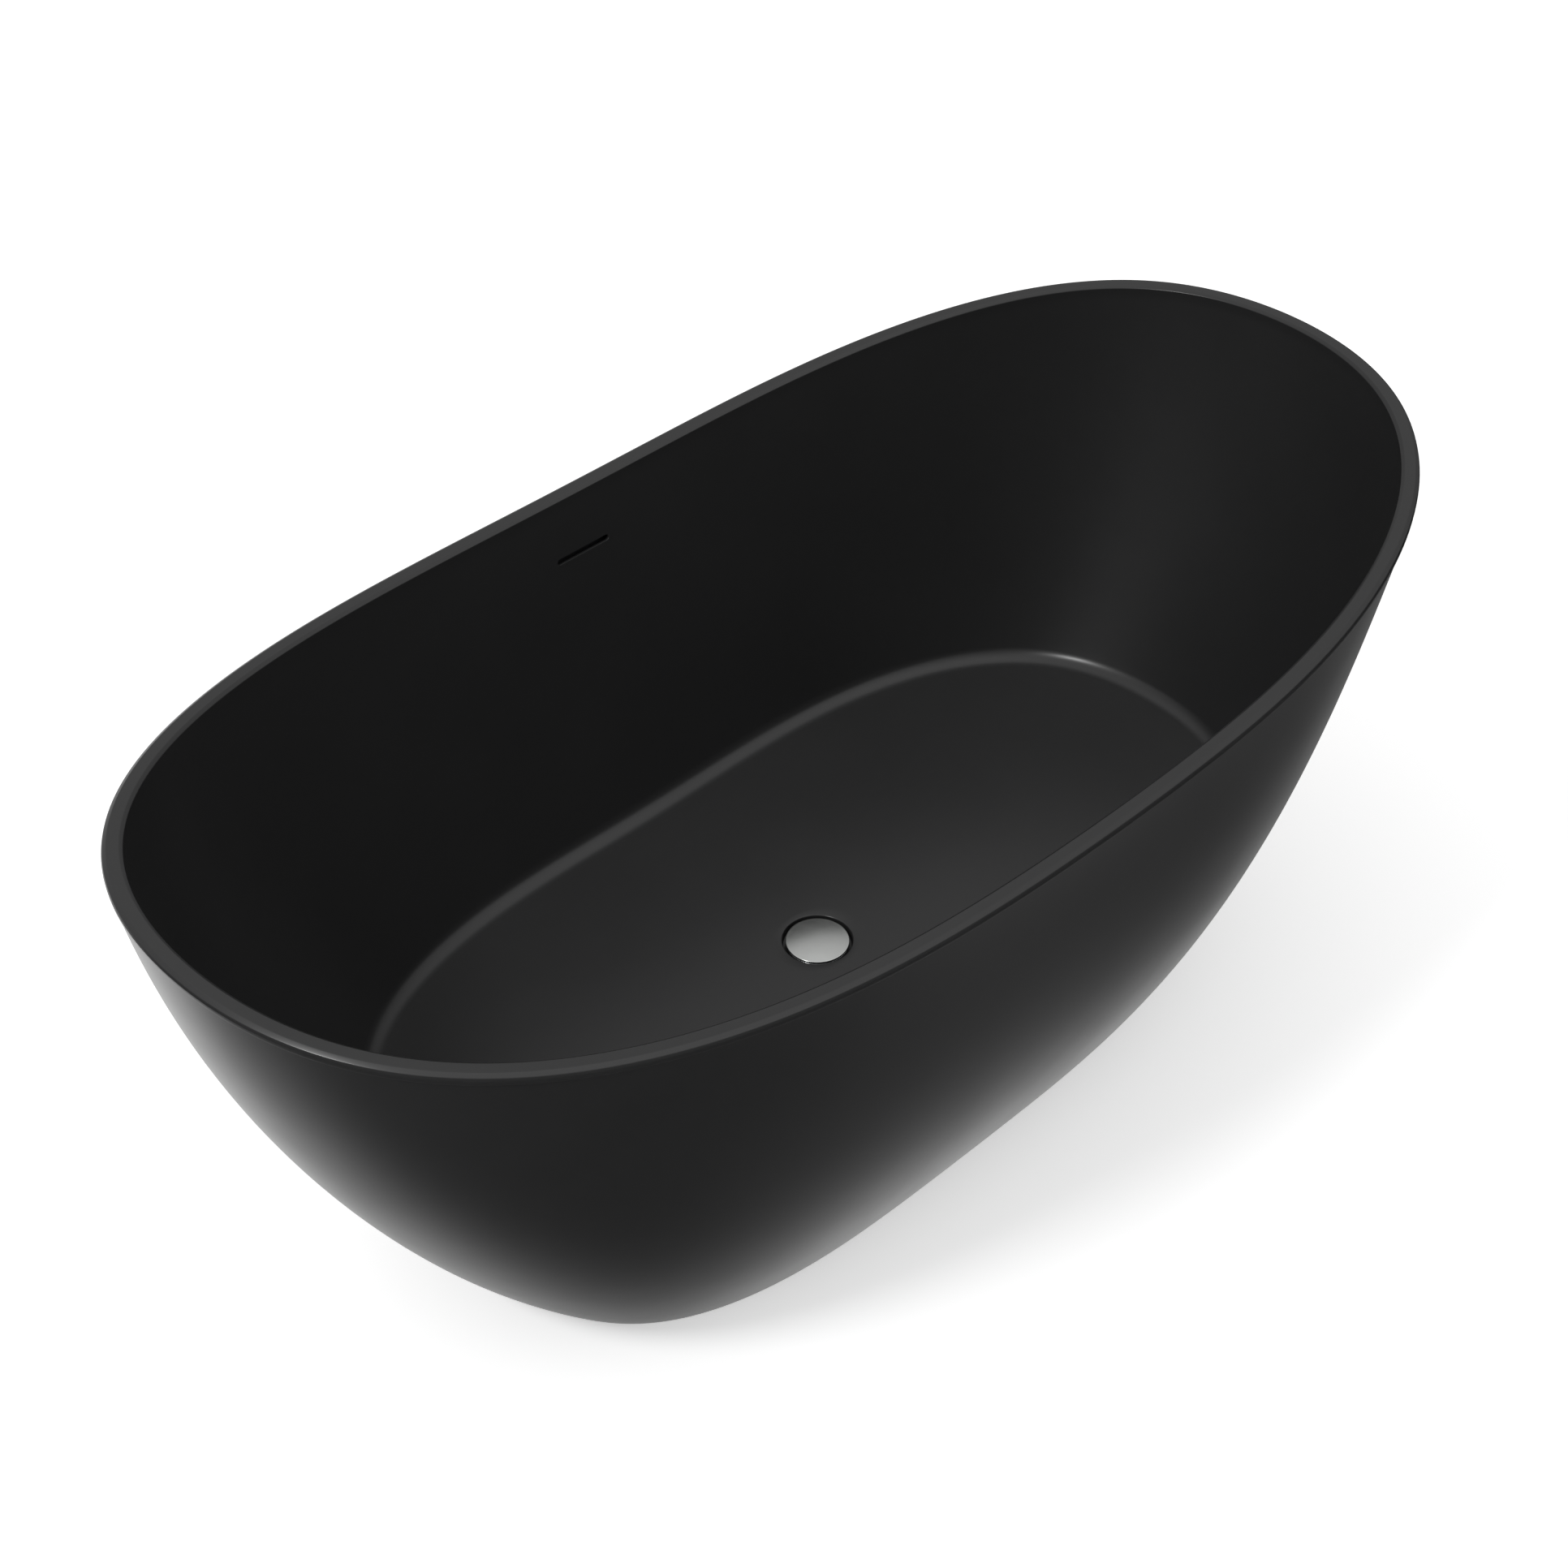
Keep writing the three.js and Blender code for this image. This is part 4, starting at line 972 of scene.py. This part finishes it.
for t in (0.25, 0.5, 0.75):
    rings.append(inner0 + (inner1 - inner0) * t)
rings += [inner1, on_axis(0.6, 61.4, 6.8, True), on_axis(-6.6, 61.4, 6.8, True), on_axis(-7, 62.0, 7.4, True)]
v, f = skin(rings, True)
make("overflow_reducer", v, f, "tub", M_MOULD, ("overflow_adaptor",), 34)


def axis_point(s):
    return END + AX * s


def hose_line(step=0.8):
    pts = []
    a, b = axis_point(25.6), axis_point(50)
    for k in range(20):
        pts.append(a.lerp(b, k / 20))
    p0, p1, p2, p3 = axis_point(50), axis_point(78), Vector((0, 185, 76)), Vector((0, 140, 76))
    for k in range(120):
        t = k / 120
        pts.append(p0 * (1 - t) ** 3 + p1 * 3 * t * (1 - t) ** 2 + p2 * 3 * t * t * (1 - t) + p3 * t**3)
    for k in range(61):
        pts.append(Vector((0, 140, 76)).lerp(Vector((0, 28, 76)), k / 60))
    P = np.array([tuple(p) for p in pts])
    s = np.concatenate([[0], np.cumsum(np.linalg.norm(np.diff(P, axis=0), axis=1))])
    n = int(s[-1] / step)
    u = np.linspace(0, s[-1], n + 1)
    return np.stack([np.interp(u, s, P[:, k]) for k in range(3)], -1), u, s[-1]


def hose_mesh():
    P, u, total = hose_line()
    T = np.gradient(P, axis=0)
    T /= np.linalg.norm(T, axis=1, keepdims=True)
    X = np.array([1.0, 0, 0])
    seg = 48
    th = np.arange(seg) * 2 * PI / seg
    cuff = 24.0

    def radius(s):
        if s < cuff or s > total - cuff:
            return 15.15
        ph = ((s - cuff) / 4.2) % 1.0
        return 14.05 + 1.1 * (0.5 - 0.5 * math.cos(2 * PI * ph)) ** 0.7

    def ring(k, r):
        side = np.cross(T[k], X)
        return P[k] + r * (np.cos(th)[:, None] * X + np.sin(th)[:, None] * side)

    n = len(P)
    rings = [ring(0, 14.7)] + [ring(k, radius(u[k])) for k in range(n)] + [ring(n - 1, 14.7)]
    rings += [ring(k, 13.4) for k in range(n - 1, -1, -6)]
    if (n - 1) % 6:
        rings.append(ring(0, 13.4))
    return skin(rings, True)


v, f = hose_mesh()
make("overflow_ribbed_hose", v, f, "tub", M_HOSE, ("overflow_hose",), 60)


def worm_clip():
    """hose clip about z: punched band, screw housing and hexagon screw, inside the CAD piece's outline"""
    seg = 180
    th = np.arange(seg) * 2 * PI / seg
    rings = []
    slots = ((np.arange(seg) // 2) % 3 == 0)
    deg = np.degrees(th)
    clear = (deg > 24) & (deg < 336)
    for z, r, cutd in ((-4.6, 16.7, 0), (-3.2, 16.8, 0), (-3.0, 16.8, 1), (3.0, 16.8, 1), (3.2, 16.8, 0), (4.6, 16.7, 0)):
        rr = np.where(cutd * slots * clear, r - 0.55, r)
        rings.append(np.stack([rr * np.cos(th), rr * np.sin(th), np.full(seg, z)], -1))
    for z, r in ((4.95, 16.4), (4.95, 15.9), (4.6, 15.65), (-4.6, 15.65), (-4.95, 15.9), (-4.95, 16.4)):
        rings.append(np.stack([r * np.cos(th), r * np.sin(th), np.full(seg, z)], -1))
    band = skin(rings, True)
    house = rounded_box(16.2, 21.4, -4.6, 4.6, -4.9, 4.9, 1.2, 4)
    head = turn(hex_nut(6.4, 0.9, 0, 2.6, 48), Matrix.Translation(Vector((19.0, -5.9, 0))) @ Matrix.Rotation(PI / 2, 4, "X") @ Matrix.Translation(Vector((0, 0, -1.2))))
    shank = turn(lathe([(0, 0), (2.3, 0), (2.3, 4), (0, 4)], 32, False, soft=0.2), Matrix.Translation(Vector((19.0, -3.0, 0))) @ Matrix.Rotation(PI / 2, 4, "X"))
    return band, house, head, shank


def clip_piece(name, m, node):
    band, house, head, shank = [turn(p, m) for p in worm_clip()]
    me = csg(band, ("UNION", house))
    place(name, me, "tub", M_ZINC, (node,), 35)


clip_piece("worm_clip_lower", Matrix.Translation(Vector((0, 42, 76))) @ Matrix.Rotation(PI, 4, "Y") @ Matrix.Rotation(PI / 2, 4, "X"), "hose_clip_lower")
c = axis_point(37)
clip_piece("worm_clip_upper", Matrix.Translation(c) @ Matrix.Rotation(-FALL, 4, "X"), "hose_clip_upper")

# the cartridge spring keeps its CAD shape, which stretches with the cap
spring = NODES["cartridge_spring"]
spring.data.materials.clear()
spring.data.materials.append(M_ZINC)
spring.data.shade_smooth()

# ------------------------------------------------------------------ stage and light
def stage_floor():
    n, R = 40, 14.0
    verts, faces = [], []
    for j in range(n + 1):
        for i in range(n + 1):
            verts.append((-R + 2 * R * i / n, -R + 2 * R * j / n, -0.0005))
    for j in range(n):
        for i in range(n):
            a = j * (n + 1) + i
            faces.append((a, a + 1, a + n + 2, a + n + 1))
    me = bpy.data.meshes.new("studio_floor")
    me.from_pydata(verts, [], faces)
    ob = bpy.data.objects.new("studio_floor", me)
    bpy.context.scene.collection.objects.link(ob)
    m = bpy.data.materials.new("studio_floor")
    m.use_nodes = True
    b = m.node_tree.nodes["Principled BSDF"]
    b.inputs["Base Color"].default_value = (0.93, 0.93, 0.93, 1)
    b.inputs["Roughness"].default_value = 0.9
    b.inputs["Specular IOR Level"].default_value = 0.1
    b.inputs["Emission Color"].default_value = (1, 1, 1, 1)
    b.inputs["Emission Strength"].default_value = 0.47
    me.materials.append(m)
    return ob


floor_ob = stage_floor()
floor_ob.visible_glossy = False


# soft surroundings: an even bright sky, low down bright behind the tub and dim in front of it
LOW = ((80, -60, 40, 0.36), (22, -60, 40, 0.56), (26, -46, 40, 0.46), (4, -64, 40, 0.30), (80, -75, 40, 0.30), (100, -45, 40, 0.90),
       (120, -60, 40, 0.40), (60, -45, 40, 0.90), (80, -45, 40, 0.42), (85, -12, 10, 1.60))
HIGH = ((0.0, 0.30), (0.30, 0.42), (0.60, 0.465), (0.80, 0.70), (0.92, 0.95), (1.0, 1.05))
SIDE = (-62, 36, 7, 0.42)


def surroundings():
    world = bpy.data.worlds.new("studio")
    bpy.context.scene.world = world
    world.use_nodes = True
    N, L = world.node_tree.nodes, world.node_tree.links
    bg = N["Background"]
    tc = N.new("ShaderNodeTexCoord")

    def math_node(kind, x, y):
        m = N.new("ShaderNodeMath")
        m.operation = kind
        for i, v in enumerate((x, y)):
            if isinstance(v, (int, float)):
                m.inputs[i].default_value = v
            else:
                L.new(v, m.inputs[i])
        return m.outputs[0]

    def dot(az, el):
        d = N.new("ShaderNodeVectorMath")
        d.operation = "DOT_PRODUCT"
        a, e = math.radians(az), math.radians(el)
        d.inputs[1].default_value = (math.cos(a) * math.cos(e), math.sin(a) * math.cos(e), math.sin(e))
        L.new(tc.outputs["Generated"], d.inputs[0])
        return d.outputs["Value"]

    def lobe(az, el, sharp, level):
        return math_node("MULTIPLY", math_node("POWER", math_node("MAXIMUM", dot(az, el), 0.0), float(sharp)), float(level))

    low = lobe(*LOW[0])
    for k in LOW[1:]:
        low = math_node("ADD", low, lobe(*k))
    r = N.new("ShaderNodeValToRGB")
    r.color_ramp.interpolation = "B_SPLINE"
    els = r.color_ramp.elements
    els[0].position, els[0].color = HIGH[0][0], (HIGH[0][1],) * 3 + (1,)
    els[1].position, els[1].color = HIGH[-1][0], (HIGH[-1][1],) * 3 + (1,)
    for p, v in HIGH[1:-1]:
        k = els.new(p)
        k.color = (v, v, v, 1)
    L.new(dot(0, 90), r.inputs["Fac"])
    high = math_node("MULTIPLY", r.outputs["Color"], math_node("SUBTRACT", 1.0, lobe(-135, 4, 4, 0.60)))
    high = math_node("MULTIPLY", high, math_node("SUBTRACT", 1.0, lobe(-14, -6, 10, 0.80)))
    high = math_node("ADD", high, lobe(*SIDE))
    u = N.new("ShaderNodeMapRange")
    u.interpolation_type = "SMOOTHSTEP"
    u.inputs["From Min"].default_value = -0.30
    u.inputs["From Max"].default_value = 0.15
    L.new(dot(0, 90), u.inputs["Value"])
    mx = N.new("ShaderNodeMix")
    L.new(u.outputs["Result"], mx.inputs["Factor"])
    L.new(low, mx.inputs["A"])
    L.new(high, mx.inputs["B"])
    L.new(mx.outputs["Result"], bg.inputs["Color"])
    bg.inputs["Strength"].default_value = 1.0


surroundings()


def softbox(name, loc, target, size, power, shape="RECTANGLE", size_y=None):
    d = bpy.data.lights.new(name, "AREA")
    d.shape = shape
    d.size = size
    d.size_y = size_y or size
    d.energy = power
    o = bpy.data.objects.new(name, d)
    bpy.context.scene.collection.objects.link(o)
    o.location = loc
    o.rotation_euler = (Vector(target) - Vector(loc)).to_track_quat("-Z", "Y").to_euler()
    return o


softbox("softbox_front", (-2.8, -0.1, 3.2), (0, 0, 0.3), 0.65, 52.0, "DISK")

bpy.context.scene.view_settings.view_transform = "Standard"
bpy.context.scene.view_settings.look = "None"
bpy.context.scene.view_settings.exposure = 0.0
bpy.context.scene.view_settings.gamma = 1.0

bpy.context.view_layer.update()
